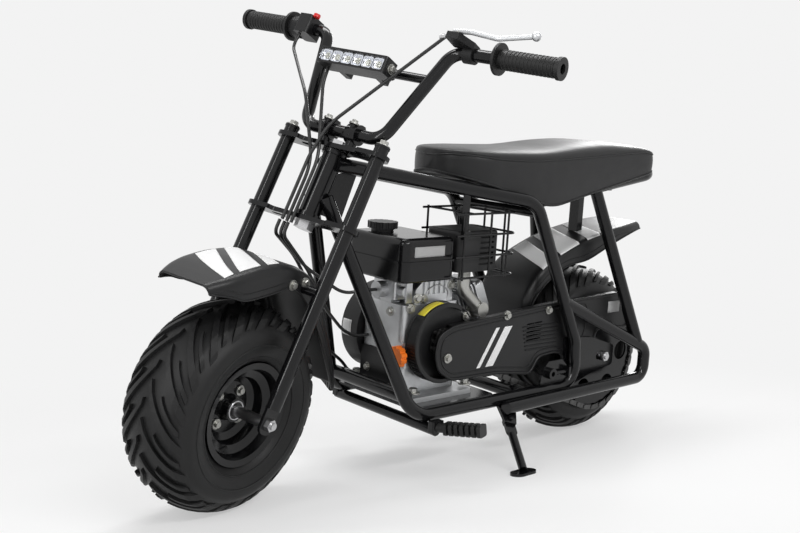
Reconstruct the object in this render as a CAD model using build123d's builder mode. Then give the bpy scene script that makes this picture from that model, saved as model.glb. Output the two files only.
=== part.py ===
"""Minibike with a double-crown fork, tube cradle frame and an open utility engine.

The bike is drawn upright and straight ahead: X forward, Y to its left, Z up, with the rear axle above
the origin. The last section turns the fork, leans the bike onto its side stand and writes the pieces.
Millimetres and degrees.
"""
import math
import os

from build123d import *

# Wheels
wheelbase = 870.0
tyre_radius = 178.0
tyre_width = 142.0
tread_half = 52.0
tread_crown_radius = 105.0
lug_depth = 6.0
lug_pairs = 18
bead_radius = 77.0
rim_radius = 88.0
rim_half = 57.0
rim_drop = 12.0
hub_radius = 20.0
hub_half = 31.0
axle_radius = 6.0
running_gap = 0.05

# Steering geometry
rake = 25.5
stem_offset = 13.5
steer_rest = 14.0
lean = 7.0

# Fork
leg_half_gap = 100.0
leg_radius = 12.5
leg_top = 486.0
leg_bottom = 24.0
upper_crown_height = 470.0
lower_crown_height = 337.0
crown_thickness = 8.0
crown_clamp_radius = 19.0
crown_hub_radius = 22.0
stem_radius = 12.7
head_radius = 19.0
bearing_cup_radius = 22.5
bearing_cup_height = 7.0
crown_gap = 1.0

# Handlebar, as (ahead of the stem, height on the stem, half width)
bar_radius = 11.0
bar_clamp_ahead = 4.0
bar_height = 502.0
bar_half_bottom = 84.0
bar_top_ahead = -18.0
bar_top_height = 688.0
bar_half_shoulder = 138.0
bar_half_width = 340.0
bar_bend = 32.0
bar_clamp_half_gap = 28.0
bar_clamp_width = 22.0
crossbar_height = 628.0
crossbar_radius = 8.0
grip_radius = 16.0
grip_length = 116.0
grip_flange_radius = 27.0

# Frame tubes
tube_radius = 12.5
frame_half_width = 115.0
tube_gap = 0.2
rail_height = 134.0
rail_bend = 48.0
head_half_width = 20.0

# Engine
crank_x = 455.0
shaft_height = 104.0
engine_plate_thickness = 3.0

# Drive
chain_line = 86.0
chain_pitch = 12.7
sprocket_teeth = 56
sprocket_thickness = 4.0
chain_half_width = 7.0

# Smaller fittings
seat_bar_radius = 9.0
gusset_thickness = 5.0
dropout_thickness = 4.0
peg_bar_radius = 10.0
peg_bar_x = 512.0

fin_count = 7
first_fin = 88.0
fin_pitch = 8.0
fin_thickness = 3.0
wire_radius = 2.2
oil_cap_y = 58.0
oil_cap_height = 81.0
cover_thickness = 2.5
pan_thickness = 3.0
fender_wall = 3.0
shoulder_round = 14.0

axle_tab = 5.0
bar_end_bore = 8.5
bar_end_depth = 40.0
cable_radius = 3.0
stand_x = 322.0
stand_drop = 15.0
stand_foot_x = 362.0
stand_foot_y = 222.0
stand_leg_radius = 8.0
stand_tongue = 6.0

placed = {}


def rad(angle):
    return math.radians(angle)


# The steering axis leans back by the rake; its plane has X ahead of the stem and Z along it.
stem_up = Vector(-math.sin(rad(rake)), 0, math.cos(rad(rake)))
stem_ahead = Vector(math.cos(rad(rake)), 0, math.sin(rad(rake)))
stem_foot = Vector(wheelbase, 0, tyre_radius) - stem_ahead * stem_offset
stem_plane = Plane(origin=stem_foot, x_dir=stem_ahead, z_dir=stem_up)


def between(start, end, share):
    """Point a share of the way along a straight run."""
    return tuple(a + (b - a) * share for a, b in zip(start, end))


def on_stem(ahead, side, height):
    """Point given ahead of the steering axis, to the left of it and up along it."""
    return stem_foot + stem_ahead * ahead + Vector(0, side, 0) + stem_up * height


def pipe(*points, radius=tube_radius, bend=0.0, mode=Mode.ADD):
    """Round bar along straight runs, with bends of one radius between them."""
    with BuildLine() as route:
        if bend:
            FilletPolyline(*points, radius=bend)
        else:
            Polyline(*points)
    run = route.wires()[0]
    with BuildSketch(Plane(origin=run @ 0, z_dir=run % 0)) as ring:
        Circle(radius)
    sweep(ring.sketch, path=run, mode=mode)


def cord_bends(points, largest=110.0):
    """Bend radii for a free cord, each as large as the runs beside it leave room for."""
    radii = []
    for before, here, after in zip(points, points[1:], points[2:]):
        run_in, run_out = Vector(here) - Vector(before), Vector(after) - Vector(here)
        room = 0.45 * min(run_in.length, run_out.length)
        radii.append(min(largest, room / math.tan(rad(run_in.get_angle(run_out) / 2))))
    return radii


def disc(x, z, radius, low, high, mode=Mode.ADD):
    """Round solid across the bike, between two distances to the left of its middle."""
    with BuildSketch(Plane.XZ.offset(-low)) as face:
        with Locations((x, z)):
            Circle(radius)
    extrude(face.sketch, amount=-(high - low), mode=mode)


def plate(outline, low, high, rounding=0.0, mode=Mode.ADD):
    """Flat plate across the bike, its outline given as (x, z) corners."""
    with BuildSketch(Plane.XZ.offset(-low)) as face:
        with BuildLine():
            Polyline(*outline, close=True)
        make_face()
        if rounding > 0:
            fillet(face.vertices(), radius=rounding)
    extrude(face.sketch, amount=-(high - low), mode=mode)


def block(x, y, z, rounding=0.0, mode=Mode.ADD):
    """Upright block between the given pairs of limits, its vertical edges rounded."""
    with BuildSketch(Plane.XY.offset(z[0])) as face:
        with Locations(((x[0] + x[1]) / 2, (y[0] + y[1]) / 2)):
            if rounding > 0:
                RectangleRounded(x[1] - x[0], y[1] - y[0], rounding)
            else:
                Rectangle(x[1] - x[0], y[1] - y[0])
    extrude(face.sketch, amount=z[1] - z[0], mode=mode)


def collar(ahead, side, low, high, radius, mode=Mode.ADD):
    """Round solid along the steering axis."""
    with BuildSketch(stem_plane.offset(low)) as face:
        with Locations((ahead, side)):
            Circle(radius)
    extrude(face.sketch, amount=high - low, mode=mode)


def keep(name, body, piece):
    """Note a finished piece and the moving body that it belongs to."""
    placed[name] = (body, piece.part)


# Wheels: tyre with V lugs, pressed rim with its hub
def tread_height(y):
    """Height of the lugs' rounded tops above the axle, at a distance beside the middle."""
    return tyre_radius - tread_crown_radius + math.sqrt(tread_crown_radius**2 - y**2)


tyre_side = ((28.0, tread_height(28) - lug_depth), (tread_half, tread_height(tread_half) - lug_depth), (67.0, 144.0),
             (tyre_width / 2, 128.0), (68.0, 108.0), (rim_half - 3.4, rim_radius + 1),
             (rim_half - 6.4, bead_radius + 3.6), (rim_half - 12, bead_radius + 0.3))
tyre_outline = [(-y, r) for y, r in reversed(tyre_side)] + [(0, tyre_radius - lug_depth), *tyre_side]
lug_stations = (
    # beside the middle, turned on from its start, half width
    (2.0, 0.0, 6.5),
    (14.0, 7.5, 7.0),
    (36.0, 18.5, 8.5),
    (58.0, 29.5, 9.5),
)
wheels = (
    # name, axle position, turn of the lugs that puts one on the floor
    ("front", wheelbase, -12.0),
    ("rear", 0.0, -7.5),
)
for wheel, axle_x, lug_turn in wheels:
    middle = Plane(origin=(axle_x, 0, tyre_radius), x_dir=(0, 1, 0), z_dir=(1, 0, 0))
    spin = Axis((axle_x, 0, tyre_radius), (0, 1, 0))

    with BuildPart() as tyre:
        with BuildSketch(middle):
            with BuildLine():
                Polyline(*tyre_outline, close=True)
            make_face()
        revolve(axis=spin)
        for side, lead in ((1, lug_turn), (-1, lug_turn + 180 / lug_pairs)):
            with BuildPart(mode=Mode.PRIVATE) as lug:
                for y, turn, half in lug_stations:
                    around = rad(turn + lead)
                    level = Plane(origin=(axle_x, side * y, tyre_radius), z_dir=(0, 1, 0),
                                  x_dir=(math.cos(around), 0, -math.sin(around)))
                    with BuildSketch(level):
                        with Locations((0, lug_depth - tread_height(y))):
                            Rectangle(2 * half, 2 * lug_depth)
                loft(ruled=True)
            add([lug.part.rotate(spin, step * 360 / lug_pairs) for step in range(lug_pairs)])
    keep(wheel + "_tyre", wheel + "_wheel", tyre)

    with BuildPart() as rim:
        with BuildSketch(middle):
            with BuildLine():
                Polyline((-rim_half, rim_radius), (-rim_half + 3, rim_radius), (-rim_half + 6, bead_radius + 3),
                         (-rim_half + 12, bead_radius), (-26, bead_radius), (-20, bead_radius - rim_drop),
                         (20, bead_radius - rim_drop), (26, bead_radius), (rim_half - 12, bead_radius),
                         (rim_half - 6, bead_radius + 3), (rim_half - 3, rim_radius), (rim_half, rim_radius),
                         (rim_half - 2, bead_radius), (rim_half - 12, bead_radius - 4), (40, bead_radius - 6),
                         (34, 58), (18, 55), (12, 44), (12, hub_radius + 3), (16, hub_radius),
                         (hub_half, hub_radius), (hub_half, axle_radius + running_gap),
                         (-hub_half, axle_radius + running_gap), (-hub_half, hub_radius), (-16, hub_radius),
                         (-12, hub_radius + 3), (-12, 44), (-18, 55), (-34, 58), (-40, bead_radius - 6),
                         (-rim_half + 12, bead_radius - 4), (-rim_half + 2, bead_radius), close=True)
            make_face()
        revolve(axis=spin)
    keep(wheel + "_rim", wheel + "_wheel", rim)

# Rear sprocket with lightening holes, and the brake drum on the other side
sprocket_pitch_radius = chain_pitch / (2 * math.sin(math.pi / sprocket_teeth))
sprocket_root = sprocket_pitch_radius - 4.3
with BuildPart() as sprocket:
    with BuildSketch(Plane.XZ.offset(-(chain_line - sprocket_thickness / 2)), mode=Mode.PRIVATE) as toothed:
        with Locations((0, tyre_radius)):
            Circle(sprocket_root)
            with PolarLocations(sprocket_root - 0.5, sprocket_teeth):
                Polygon((0, -3), (5.4, -1.3), (5.4, 1.3), (0, 3), align=None)
    extrude(toothed.sketch, amount=-sprocket_thickness)
    disc(0, tyre_radius, 46, hub_half + 0.3, chain_line - sprocket_thickness / 2)
    disc(0, tyre_radius, 26, chain_line + sprocket_thickness / 2, chain_line + 5)
    disc(0, tyre_radius, axle_radius + running_gap, hub_half, chain_line + 6, mode=Mode.SUBTRACT)
    with BuildSketch(Plane.XZ.offset(-(chain_line - sprocket_thickness))):
        with Locations((0, tyre_radius)):
            with PolarLocations(78, 6):
                Circle(20)
    extrude(amount=-2 * sprocket_thickness, mode=Mode.SUBTRACT)
keep("rear_sprocket", "rear_wheel", sprocket)

brake_drum_radius = 56.0
brake_low, brake_high = -88.0, -58.0
with BuildPart() as brake_drum:
    disc(0, tyre_radius, brake_drum_radius, brake_low, brake_high)
    disc(0, tyre_radius, brake_drum_radius - 5, brake_low, brake_high - 5, mode=Mode.SUBTRACT)
    disc(0, tyre_radius, 22, brake_low, -hub_half - 0.3)
    disc(0, tyre_radius, axle_radius + running_gap, brake_low - 1, -hub_half, mode=Mode.SUBTRACT)
keep("brake_drum", "rear_wheel", brake_drum)

# Frame tubes, each a table of corners on the left side; the right side mirrors it
head_low = lower_crown_height + crown_thickness / 2 + crown_gap
head_high = upper_crown_height - crown_thickness / 2 - crown_gap
rear_corner = (260.0, frame_half_width, 509.0)
upright_knee = (112.0, frame_half_width, 226.0)
upright_split = between(rear_corner, upright_knee, 0.24)
rail_rear = (104.0, frame_half_width, rail_height)
rail_front = (548.0, frame_half_width, rail_height)
rail_joint_rear = (165.0, frame_half_width, rail_height)
rail_joint_front = (470.0, frame_half_width, rail_height)
head_top_joint = tuple(on_stem(0, head_half_width, 444))
head_low_joint = tuple(on_stem(-4, head_half_width, 384))

gusset_corners = [(point.X, point.Z) for point in (on_stem(-6, 0, 422), on_stem(-6, 0, 356))]
with BuildPart() as head_tube:
    collar(0, 0, head_low, head_high, head_radius)
    for low in (head_low, head_high - bearing_cup_height):
        collar(0, 0, low, low + bearing_cup_height, bearing_cup_radius)
    plate(gusset_corners + [(642, 470), (606, 562)], -gusset_thickness / 2, gusset_thickness / 2)
    collar(0, 0, head_low - 1, head_high + 1, stem_radius + running_gap, mode=Mode.SUBTRACT)
keep("head_tube", "frame", head_tube)

frame_runs = (
    # name, corners, bend radius
    ("top_rails", (head_top_joint, rear_corner, upright_split), 55.0),
    ("rear_uprights", (upright_split, upright_knee, rail_rear, rail_joint_rear), 44.0),
    ("lower_rails", (rail_joint_rear, rail_joint_front), 0.0),
    ("down_tubes", (rail_joint_front, rail_front, head_low_joint), 60.0),
)
for name, corners, bend in frame_runs:
    with BuildPart() as run:
        pipe(*corners, bend=bend)
        mirror(about=Plane.XZ)
        if name in ("top_rails", "down_tubes"):
            collar(0, 0, head_low - 40, head_high + 40, head_radius, mode=Mode.SUBTRACT)
            add(head_tube.part, mode=Mode.SUBTRACT)
    keep(name, "frame", run)


rear_cross_x = 262.0
cross_runs = (
    # x, z, half length, radius
    (558.0, 171.0, 110.0, tube_radius),
    (rear_cross_x, rail_height, frame_half_width, tube_radius),
    (400.0, 533.0, 82.0, seat_bar_radius),
    (250.0, 488.0, frame_half_width, seat_bar_radius),
)
with BuildPart() as cross_members:
    for x, z, half, radius in cross_runs:
        pipe((x, -half, z), (x, half, z), radius=radius)
    for welded in ("top_rails", "rear_uprights", "lower_rails", "down_tubes"):
        add(placed[welded][1], mode=Mode.SUBTRACT)
keep("cross_members", "frame", cross_members)

# Outer hoops beside the rear wheel, seat rails, tail bar and struts
hoop_side = frame_half_width + 2 * tube_radius + tube_gap
hoop_start = (154.0, frame_half_width, 307.0)
hoop_high = (-92.0, hoop_side, 193.0)
hoop_low = (-92.0, hoop_side, 130.0)
hoop_front = (330.0, hoop_side, 125.0)
hoop_split = between(hoop_low, hoop_front, 0.1)
seat_rail_half = 82.0
seat_rail_front = (248.0, seat_rail_half, 502.0)
tail_corner = (-150.0, seat_rail_half, 559.5)
seat_rail_rear = between(tail_corner, seat_rail_front, 0.14)

rear_runs = (
    # name, corners, bend radius, what it is welded to
    ("hoop_stays", (hoop_start, hoop_high, hoop_low, hoop_split), 27.0, ("rear_uprights",)),
    ("hoop_rails", (hoop_split, hoop_front), 0.0, ()),
    ("seat_rails", (seat_rail_front, seat_rail_rear), 0.0, ("cross_members",)),
    ("seat_struts", ((46, seat_rail_half + 1, 526), (-64, hoop_side - 2, 210)), 0.0, ("seat_rails", "hoop_stays")),
)
for name, corners, bend, welded_to in rear_runs:
    with BuildPart() as run:
        pipe(*corners, bend=bend)
        mirror(about=Plane.XZ)
        for welded in welded_to:
            add(placed[welded][1], mode=Mode.SUBTRACT)
    keep(name, "frame", run)

with BuildPart() as tail_bar:
    pipe(seat_rail_rear, tail_corner, (tail_corner[0], -seat_rail_half, tail_corner[2]),
         (seat_rail_rear[0], -seat_rail_half, seat_rail_rear[2]), bend=40)
keep("tail_bar", "frame", tail_bar)

# Rear axle plates inside the uprights, with the axle through them
dropout_low = frame_half_width - tube_radius - tube_gap - dropout_thickness
dropout_outline = ((128, 232), (40, 222), (-34, 198), (-34, 156), (40, 144), (112, 122), (140, 122), (140, 150), (124, 190))
with BuildPart() as dropouts:
    plate(dropout_outline, dropout_low, dropout_low + dropout_thickness, rounding=8)
    plate(((-14, 172), (22, 172), (22, 184), (-14, 184)), dropout_low - 1, dropout_low + 6, rounding=5.5, mode=Mode.SUBTRACT)
    mirror(about=Plane.XZ)
keep("dropouts", "frame", dropouts)

nut_across = 10.5
with BuildPart() as rear_axle:
    disc(0, tyre_radius, axle_radius, -dropout_low - 16, dropout_low + 16)
    disc(0, tyre_radius, 9.5, chain_line + 6.4, dropout_low)
    disc(0, tyre_radius, 9.5, -dropout_low, brake_low - 0.4)
    for low in (dropout_low + dropout_thickness, -dropout_low - dropout_thickness - 9):
        with BuildSketch(Plane.XZ.offset(-low)) as nut:
            with Locations((0, tyre_radius)):
                RegularPolygon(nut_across, 6)
        extrude(nut.sketch, amount=-9)
keep("rear_axle", "frame", rear_axle)

# Chain tensioner: a plate on the left rail with an eye bolt along the bike
with BuildPart() as tensioner:
    plate(((128, rail_height + 10), (212, rail_height + 10), (206, 176), (190, 192), (150, 192), (132, 176)),
          frame_half_width - 2.5, frame_half_width + 2.5, rounding=6)
    add(placed["lower_rails"][1], mode=Mode.SUBTRACT)
    add(placed["rear_uprights"][1], mode=Mode.SUBTRACT)
    disc(186, 168, 11, frame_half_width + 2.5, frame_half_width + 13)
    disc(186, 168, 5, frame_half_width + 1, frame_half_width + 14, mode=Mode.SUBTRACT)
    pipe((176, frame_half_width + 8, 168), (138, frame_half_width + 8, 168), radius=4)
    block((136, 142), (frame_half_width + 2.5, frame_half_width + 16), (158, 178))
keep("chain_tensioner", "frame", tensioner)

# Engine plate over the rails, and the foot peg bar under them
engine_base = rail_height + tube_radius + tube_gap + engine_plate_thickness
crank_z = engine_base + shaft_height
with BuildPart() as engine_plate:
    block((345, 548), (-frame_half_width - 5, frame_half_width + 5), (engine_base - engine_plate_thickness, engine_base), rounding=8)
    add(placed["down_tubes"][1], mode=Mode.SUBTRACT)
    with BuildSketch(Plane.XY.offset(engine_base)) as slots:
        with Locations((452, 0)):
            with GridLocations(130, 162, 2, 2):
                SlotOverall(34, 9)
        with Locations((452, 0)):
            RectangleRounded(70, 90, 8)
    extrude(slots.sketch, amount=-2 * engine_plate_thickness, mode=Mode.SUBTRACT)
keep("engine_plate", "frame", engine_plate)

peg_bar_z = rail_height - tube_radius - tube_gap - peg_bar_radius
with BuildPart() as peg_bar:
    pipe((peg_bar_x, -142, peg_bar_z), (peg_bar_x, 142, peg_bar_z), radius=peg_bar_radius)
    for side in (-1, 1):
        block((peg_bar_x - 15, peg_bar_x + 11), sorted((side * 130, side * 146)), (peg_bar_z - 3, peg_bar_z + 17), rounding=3)
keep("peg_bar", "frame", peg_bar)
with BuildPart() as foot_pegs:
    pipe((peg_bar_x - 2, 143, peg_bar_z + 6), (peg_bar_x - 30, 226, peg_bar_z + 18), radius=9)
    for step in range(7):
        along = 0.16 + 0.13 * step
        here = Vector(peg_bar_x - 3 - 27 * along, 146.3 + 79.7 * along, peg_bar_z + 6 + 12 * along)
        with BuildSketch(Plane(origin=here, z_dir=(-27, 79.7, 12))) as tread:
            RectangleRounded(27, 22, 5)
        extrude(tread.sketch, amount=6.5)
    mirror(about=Plane.XZ)
    add(peg_bar.part, mode=Mode.SUBTRACT)
keep("foot_pegs", "frame", foot_pegs)

# Engine: crankcase with a finned cylinder that leans back, seen from the drive side
cylinder_tilt = 25.0
cylinder_plane = Plane(origin=(crank_x, 0, crank_z), x_dir=(0, 1, 0),
                       z_dir=(-math.cos(rad(cylinder_tilt)), 0, math.sin(rad(cylinder_tilt))))
case_front, case_rear = crank_x + 73, crank_x - 67
case_left, case_right = 64.0, -58.0
case_top = crank_z + 68
with BuildPart() as engine_block:
    block((case_rear, case_front), (case_right, case_left - 8), (engine_base, case_top), rounding=12)
    block((case_rear - 12, case_front + 12), (-92, 92), (engine_base, engine_base + 9), rounding=6)
    disc(crank_x, crank_z, 56, case_left - 8, case_left - 3)
    disc(crank_x, crank_z, 26, case_left - 3, case_left)
    block((case_front - 24, case_front), (20, case_left), (engine_base + 58, engine_base + 104), rounding=6)
    with BuildSketch(cylinder_plane.offset(55)):
        RectangleRounded(76, 70, 8)
    extrude(amount=98)
    for fin in range(fin_count):
        with BuildSketch(cylinder_plane.offset(first_fin + fin * fin_pitch)):
            RectangleRounded(104, 92, 10)
        extrude(amount=fin_thickness)
    with BuildSketch(cylinder_plane.offset(first_fin + fin_count * fin_pitch)):
        RectangleRounded(84, 64, 10)
    extrude(amount=22)
keep("engine_block", "frame", engine_block)

blower_radius = 86.0
with BuildPart() as recoil_starter:
    disc(crank_x, crank_z, blower_radius, case_right - 46, case_right - 0.3)
    disc(crank_x, crank_z, 66, case_right - 66, case_right - 46)
    fillet(recoil_starter.edges().group_by(Axis.Y)[0], radius=9)
    with BuildSketch(Plane.XZ.offset(-(case_right - 66))) as vents:
        with Locations((crank_x, crank_z)):
            with PolarLocations(40, 12):
                RectangleRounded(24, 7, 3)
    extrude(vents.sketch, amount=-4, mode=Mode.SUBTRACT)
    disc(crank_x, crank_z, 20, case_right - 70, case_right - 60)
keep("recoil_starter", "frame", recoil_starter)

shroud_top = case_top + 41
with BuildPart() as engine_shroud:
    plate(((case_front - 26, case_top + 0.3), (case_front - 30, shroud_top - 14), (case_front - 46, shroud_top),
           (crank_x - 52, shroud_top), (crank_x - 48, case_top + 20), (crank_x - 50, case_top + 0.3)),
          case_right + 4, case_left - 12, rounding=3)
    for rib in range(5):
        plate(((crank_x - 30 + rib * 13, shroud_top + 3), (crank_x - 24 + rib * 13, shroud_top + 3),
               (crank_x - 24 + rib * 13, case_top + 16), (crank_x - 30 + rib * 13, case_top + 16)),
              case_left - 15, case_left - 9, mode=Mode.SUBTRACT)
keep("engine_shroud", "frame", engine_shroud)

tank_x = (crank_x - 27, crank_x + 101)
tank_z = (shroud_top + 4.3, shroud_top + 84)
tank_half = 80.0
with BuildPart() as fuel_tank:
    block(tank_x, (-tank_half, tank_half), tank_z, rounding=16)
    fillet(fuel_tank.edges().group_by(Axis.Z)[-1], radius=12)
    fillet(fuel_tank.edges().group_by(Axis.Z)[0], radius=6)
    block((tank_x[0] - 3, tank_x[1] + 3), (-tank_half - 3, tank_half + 3), (tank_z[0] + 36, tank_z[0] + 39), rounding=18)
    block((crank_x - 20, crank_x + 16), (-40, 40), (shroud_top + 0.3, tank_z[0] + 2))
    block((tank_x[0] + 30, tank_x[1] - 14), (tank_half - 1.5, tank_half + 2), (tank_z[0] + 45, tank_z[0] + 66), mode=Mode.SUBTRACT)
keep("fuel_tank", "frame", fuel_tank)

cap_x, cap_y = crank_x + 62, -28.0
with BuildPart() as fuel_cap:
    with BuildSketch(Plane.XY.offset(tank_z[1] + 0.3)):
        with Locations((cap_x, cap_y)):
            Circle(21)
    extrude(amount=6)
    with BuildSketch(Plane.XY.offset(tank_z[1] + 6.3)):
        with Locations((cap_x, cap_y)):
            Circle(28)
            with PolarLocations(29, 16):
                Circle(3.2, mode=Mode.SUBTRACT)
    extrude(amount=12)
keep("fuel_cap", "frame", fuel_cap)

muffler_x = (crank_x - 139, crank_x - 33)
muffler_z = (shroud_top + 16, shroud_top + 92)
muffler_y = (-14.0, 80.0)
with BuildPart() as muffler:
    block(muffler_x, muffler_y, muffler_z, rounding=14)
    fillet(muffler.edges().group_by(Axis.Z)[-1], radius=6)
    for slot in range(6):
        low = muffler_z[0] + 12 + slot * 10
        block((muffler_x[0] + 16, muffler_x[0] + 52), (muffler_y[1] - 5, muffler_y[1] + 1), (low, low + 4), mode=Mode.SUBTRACT)
keep("muffler", "frame", muffler)

port = cylinder_plane.offset(118).origin
with BuildPart() as exhaust_elbow:
    pipe((muffler_x[1] - 30, 66, muffler_z[0] - 0.3), (muffler_x[1] - 30, 66, muffler_z[0] - 34),
         (port.X, 66, port.Z), radius=12, bend=18)
    disc(port.X, port.Z, 20, 52.3, 57)
    disc(port.X, port.Z, 14, 57, 80)
keep("exhaust_elbow", "frame", exhaust_elbow)

cage_x = (crank_x - 170, crank_x - 12)
cage_y = (-26.0, 92.0)
cage_z = (muffler_z[0] - 8, muffler_z[1] + 34)
cage_rows = [cage_z[0] + (cage_z[1] - cage_z[0]) * row / 3 for row in range(4)]
cage_uprights = ((cage_x[1] - 20, cage_y[1]), (cage_x[0] + 70, cage_y[1]), (cage_x[0] + 24, cage_y[1]),
                 (cage_x[0], 60), (cage_x[0], 6), (cage_x[0] + 40, cage_y[0]), (cage_x[1] - 36, cage_y[0]))
with BuildPart() as muffler_cage:
    for z in cage_rows:
        pipe((cage_x[1], cage_y[1], z), (cage_x[0], cage_y[1], z), (cage_x[0], cage_y[0], z),
             (muffler_x[1] - 2, cage_y[0], z), radius=wire_radius, bend=14)
    for x, y in cage_uprights:
        pipe((x, y, cage_rows[0] - 4), (x, y, cage_rows[3] + 4), radius=wire_radius)
    for x in (cage_x[0] + 40, muffler_x[1] - 20):
        pipe((x, cage_y[0], cage_rows[3]), (x, cage_y[1], cage_rows[3]), radius=wire_radius)
    block((408, 422), (81, 86), (cage_rows[2] - 8, 524))
    block((408, 422), (86, cage_y[1]), (cage_rows[2] - 8, cage_rows[2] + 8))
    add(placed["top_rails"][1], mode=Mode.SUBTRACT)
    add(fuel_tank.part, mode=Mode.SUBTRACT)
keep("muffler_cage", "frame", muffler_cage)

with BuildPart() as carburettor:
    block((case_front - 24, case_front + 6), (-26, 34), (case_top + 8, case_top + 40), rounding=4)
    block((case_front - 20, case_front), (-10, 20), (case_top + 0.3, case_top + 8))
    pipe((case_front + 4, 4, case_top + 24), (case_front + 24, 4, case_top + 24), radius=15)
    pipe((case_front - 8, 34, case_top + 24), (case_front - 8, 50, case_top + 24), radius=9)
    block((case_front - 20, case_front - 6), (50, 53), (case_top + 4, case_top + 42))
keep("carburettor", "frame", carburettor)

with BuildPart() as oil_cap:
    with BuildSketch(Plane.YZ.offset(case_front + 0.3)):
        with Locations((oil_cap_y, engine_base + oil_cap_height)):
            Circle(11)
    extrude(amount=5)
    with BuildSketch(Plane.YZ.offset(case_front + 5.3)):
        with Locations((oil_cap_y, engine_base + oil_cap_height)):
            Circle(20)
            with PolarLocations(21, 10):
                Circle(3.2, mode=Mode.SUBTRACT)
    extrude(amount=13)
keep("oil_cap", "frame", oil_cap)

# Drive: clutch drum, chain loop, and the cover outside it
guard_radius = 73.0
guard_wall = 6.0
drive_pitch_radius = chain_pitch / (2 * math.sin(math.pi / 10))
chain_high = chain_line + chain_half_width
cover_low = chain_high + 1.5
with BuildPart() as clutch_guard:
    disc(crank_x, crank_z, guard_radius, case_left + 0.3, cover_low - 0.3)
    disc(crank_x, crank_z, guard_radius - guard_wall, case_left + 12, cover_low, mode=Mode.SUBTRACT)
    block((crank_x - 2 * guard_radius, crank_x - 36), (case_left + 12, cover_low),
          (crank_z - guard_radius - 1, crank_z + guard_radius + 1), mode=Mode.SUBTRACT)
    disc(crank_x, crank_z, drive_pitch_radius - 4.5, case_left + 11, chain_high)
keep("clutch_guard", "frame", clutch_guard)

with BuildPart() as chain:
    for grow, half, mode in ((5.0, chain_half_width, Mode.ADD), (-3.5, chain_half_width, Mode.SUBTRACT),
                             (2.0, sprocket_thickness / 2 + 1, Mode.SUBTRACT)):
        with BuildSketch(Plane.XZ.offset(-(chain_line - half))) as loop:
            with Locations((0, tyre_radius)):
                Circle(sprocket_pitch_radius + grow)
            with Locations((crank_x, crank_z)):
                Circle(drive_pitch_radius + grow)
            make_hull()
        extrude(loop.sketch, amount=-2 * half, mode=mode)
keep("drive_chain", "frame", chain)

cover_outline = ((482, 236), (474, 270), (440, 284), (172, 302), (-45, 308), (-80, 300), (-80, 232), (24, 238),
                 (50, 150), (118, 152), (128, 196), (152, 204), (200, 200), (222, 168), (319, 182), (440, 184),
                 (474, 206))
with BuildPart() as chain_cover:
    plate(cover_outline, cover_low, cover_low + cover_thickness, rounding=7)
    plate(((440, 284), (172, 302), (-45, 308), (-45, 305.5), (172, 299.5), (440, 281.5)), case_left + 14.6, cover_low)
    for x, z, length, rows in ((196, 236, 44, 5), (96, 262, 24, 3)):
        for row in range(rows):
            plate(((x, z + row * 8), (x + length, z + row * 8 - 2), (x + length, z + row * 8 + 1), (x, z + row * 8 + 3)),
                  cover_low - 1, cover_low + cover_thickness + 1, mode=Mode.SUBTRACT)
keep("chain_cover", "frame", chain_cover)

# Seat: sections from front to back as x, half width, bottom, side height, crown height
seat_sections = (
    (432.0, 24.0, 557.0, 597.0, 603.0),
    (420.0, 48.0, 552.0, 597.0, 604.0),
    (392.0, 72.0, 545.0, 593.0, 604.0),
    (340.0, 92.0, 531.0, 587.0, 604.0),
    (230.0, 101.0, 502.0, 586.0, 606.0),
    (190.0, 101.0, 495.0, 588.0, 608.0),
    (100.0, 101.0, 514.0, 593.0, 618.0),
    (20.0, 101.0, 531.0, 598.0, 622.0),
    (-68.0, 101.0, 549.0, 605.0, 617.0),
    (-112.0, 97.0, 558.0, 604.0, 612.0),
    (-131.0, 88.0, 563.0, 598.0, 604.0),
)
with BuildPart() as seat:
    for x, half, bottom, side, crown in seat_sections:
        with BuildSketch(Plane.YZ.offset(x)):
            with BuildLine():
                foot = Polyline((half, side), (half, bottom), (-half, bottom), (-half, side))
                ThreePointArc(foot @ 1, (0, crown), foot @ 0)
            make_face()
    loft(ruled=True)
    pipe(head_top_joint, rear_corner, upright_split, radius=tube_radius + 0.4, bend=55, mode=Mode.SUBTRACT)
    pipe(seat_rail_front, tail_corner, radius=tube_radius + 0.4, mode=Mode.SUBTRACT)
    add(placed["seat_struts"][1], mode=Mode.SUBTRACT)
    block((-160, 440), (-120, 0), (480, 640), mode=Mode.SUBTRACT)
    mirror(about=Plane.XZ)
    block((-160, -100), (-seat_rail_half, seat_rail_half), (540, 574), mode=Mode.SUBTRACT)
keep("seat", "frame", seat)

pan_line = [(x, bottom) for x, half, bottom, side, crown in seat_sections[2:9]]
with BuildPart() as seat_pan:
    plate([(x, z - 0.3) for x, z in pan_line] + [(x, z - pan_thickness - 0.3) for x, z in reversed(pan_line)], -60, 60)
keep("seat_pan", "frame", seat_pan)

# Fenders: stations along the crown as x, z, half width, skirt depth
def fender(stations):
    """Channel with rounded shoulders, lofted through stations along its crown."""
    with BuildPart() as shell:
        for index, (x, z, half, depth) in enumerate(stations):
            before, after = stations[max(index - 1, 0)], stations[min(index + 1, len(stations) - 1)]
            along = Vector(after[0] - before[0], 0, after[1] - before[1])
            with BuildSketch(Plane(origin=(x, 0, z), x_dir=(0, 1, 0), z_dir=along)):
                with BuildLine():
                    outside = FilletPolyline((half, depth), (half, 0), (-half, 0), (-half, depth), radius=shoulder_round)
                    inside = FilletPolyline((half - fender_wall, depth), (half - fender_wall, fender_wall),
                                            (fender_wall - half, fender_wall), (fender_wall - half, depth),
                                            radius=shoulder_round - fender_wall)
                    Line(outside @ 0, inside @ 0)
                    Line(outside @ 1, inside @ 1)
                make_face()
        loft(ruled=True)
    return shell


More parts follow.
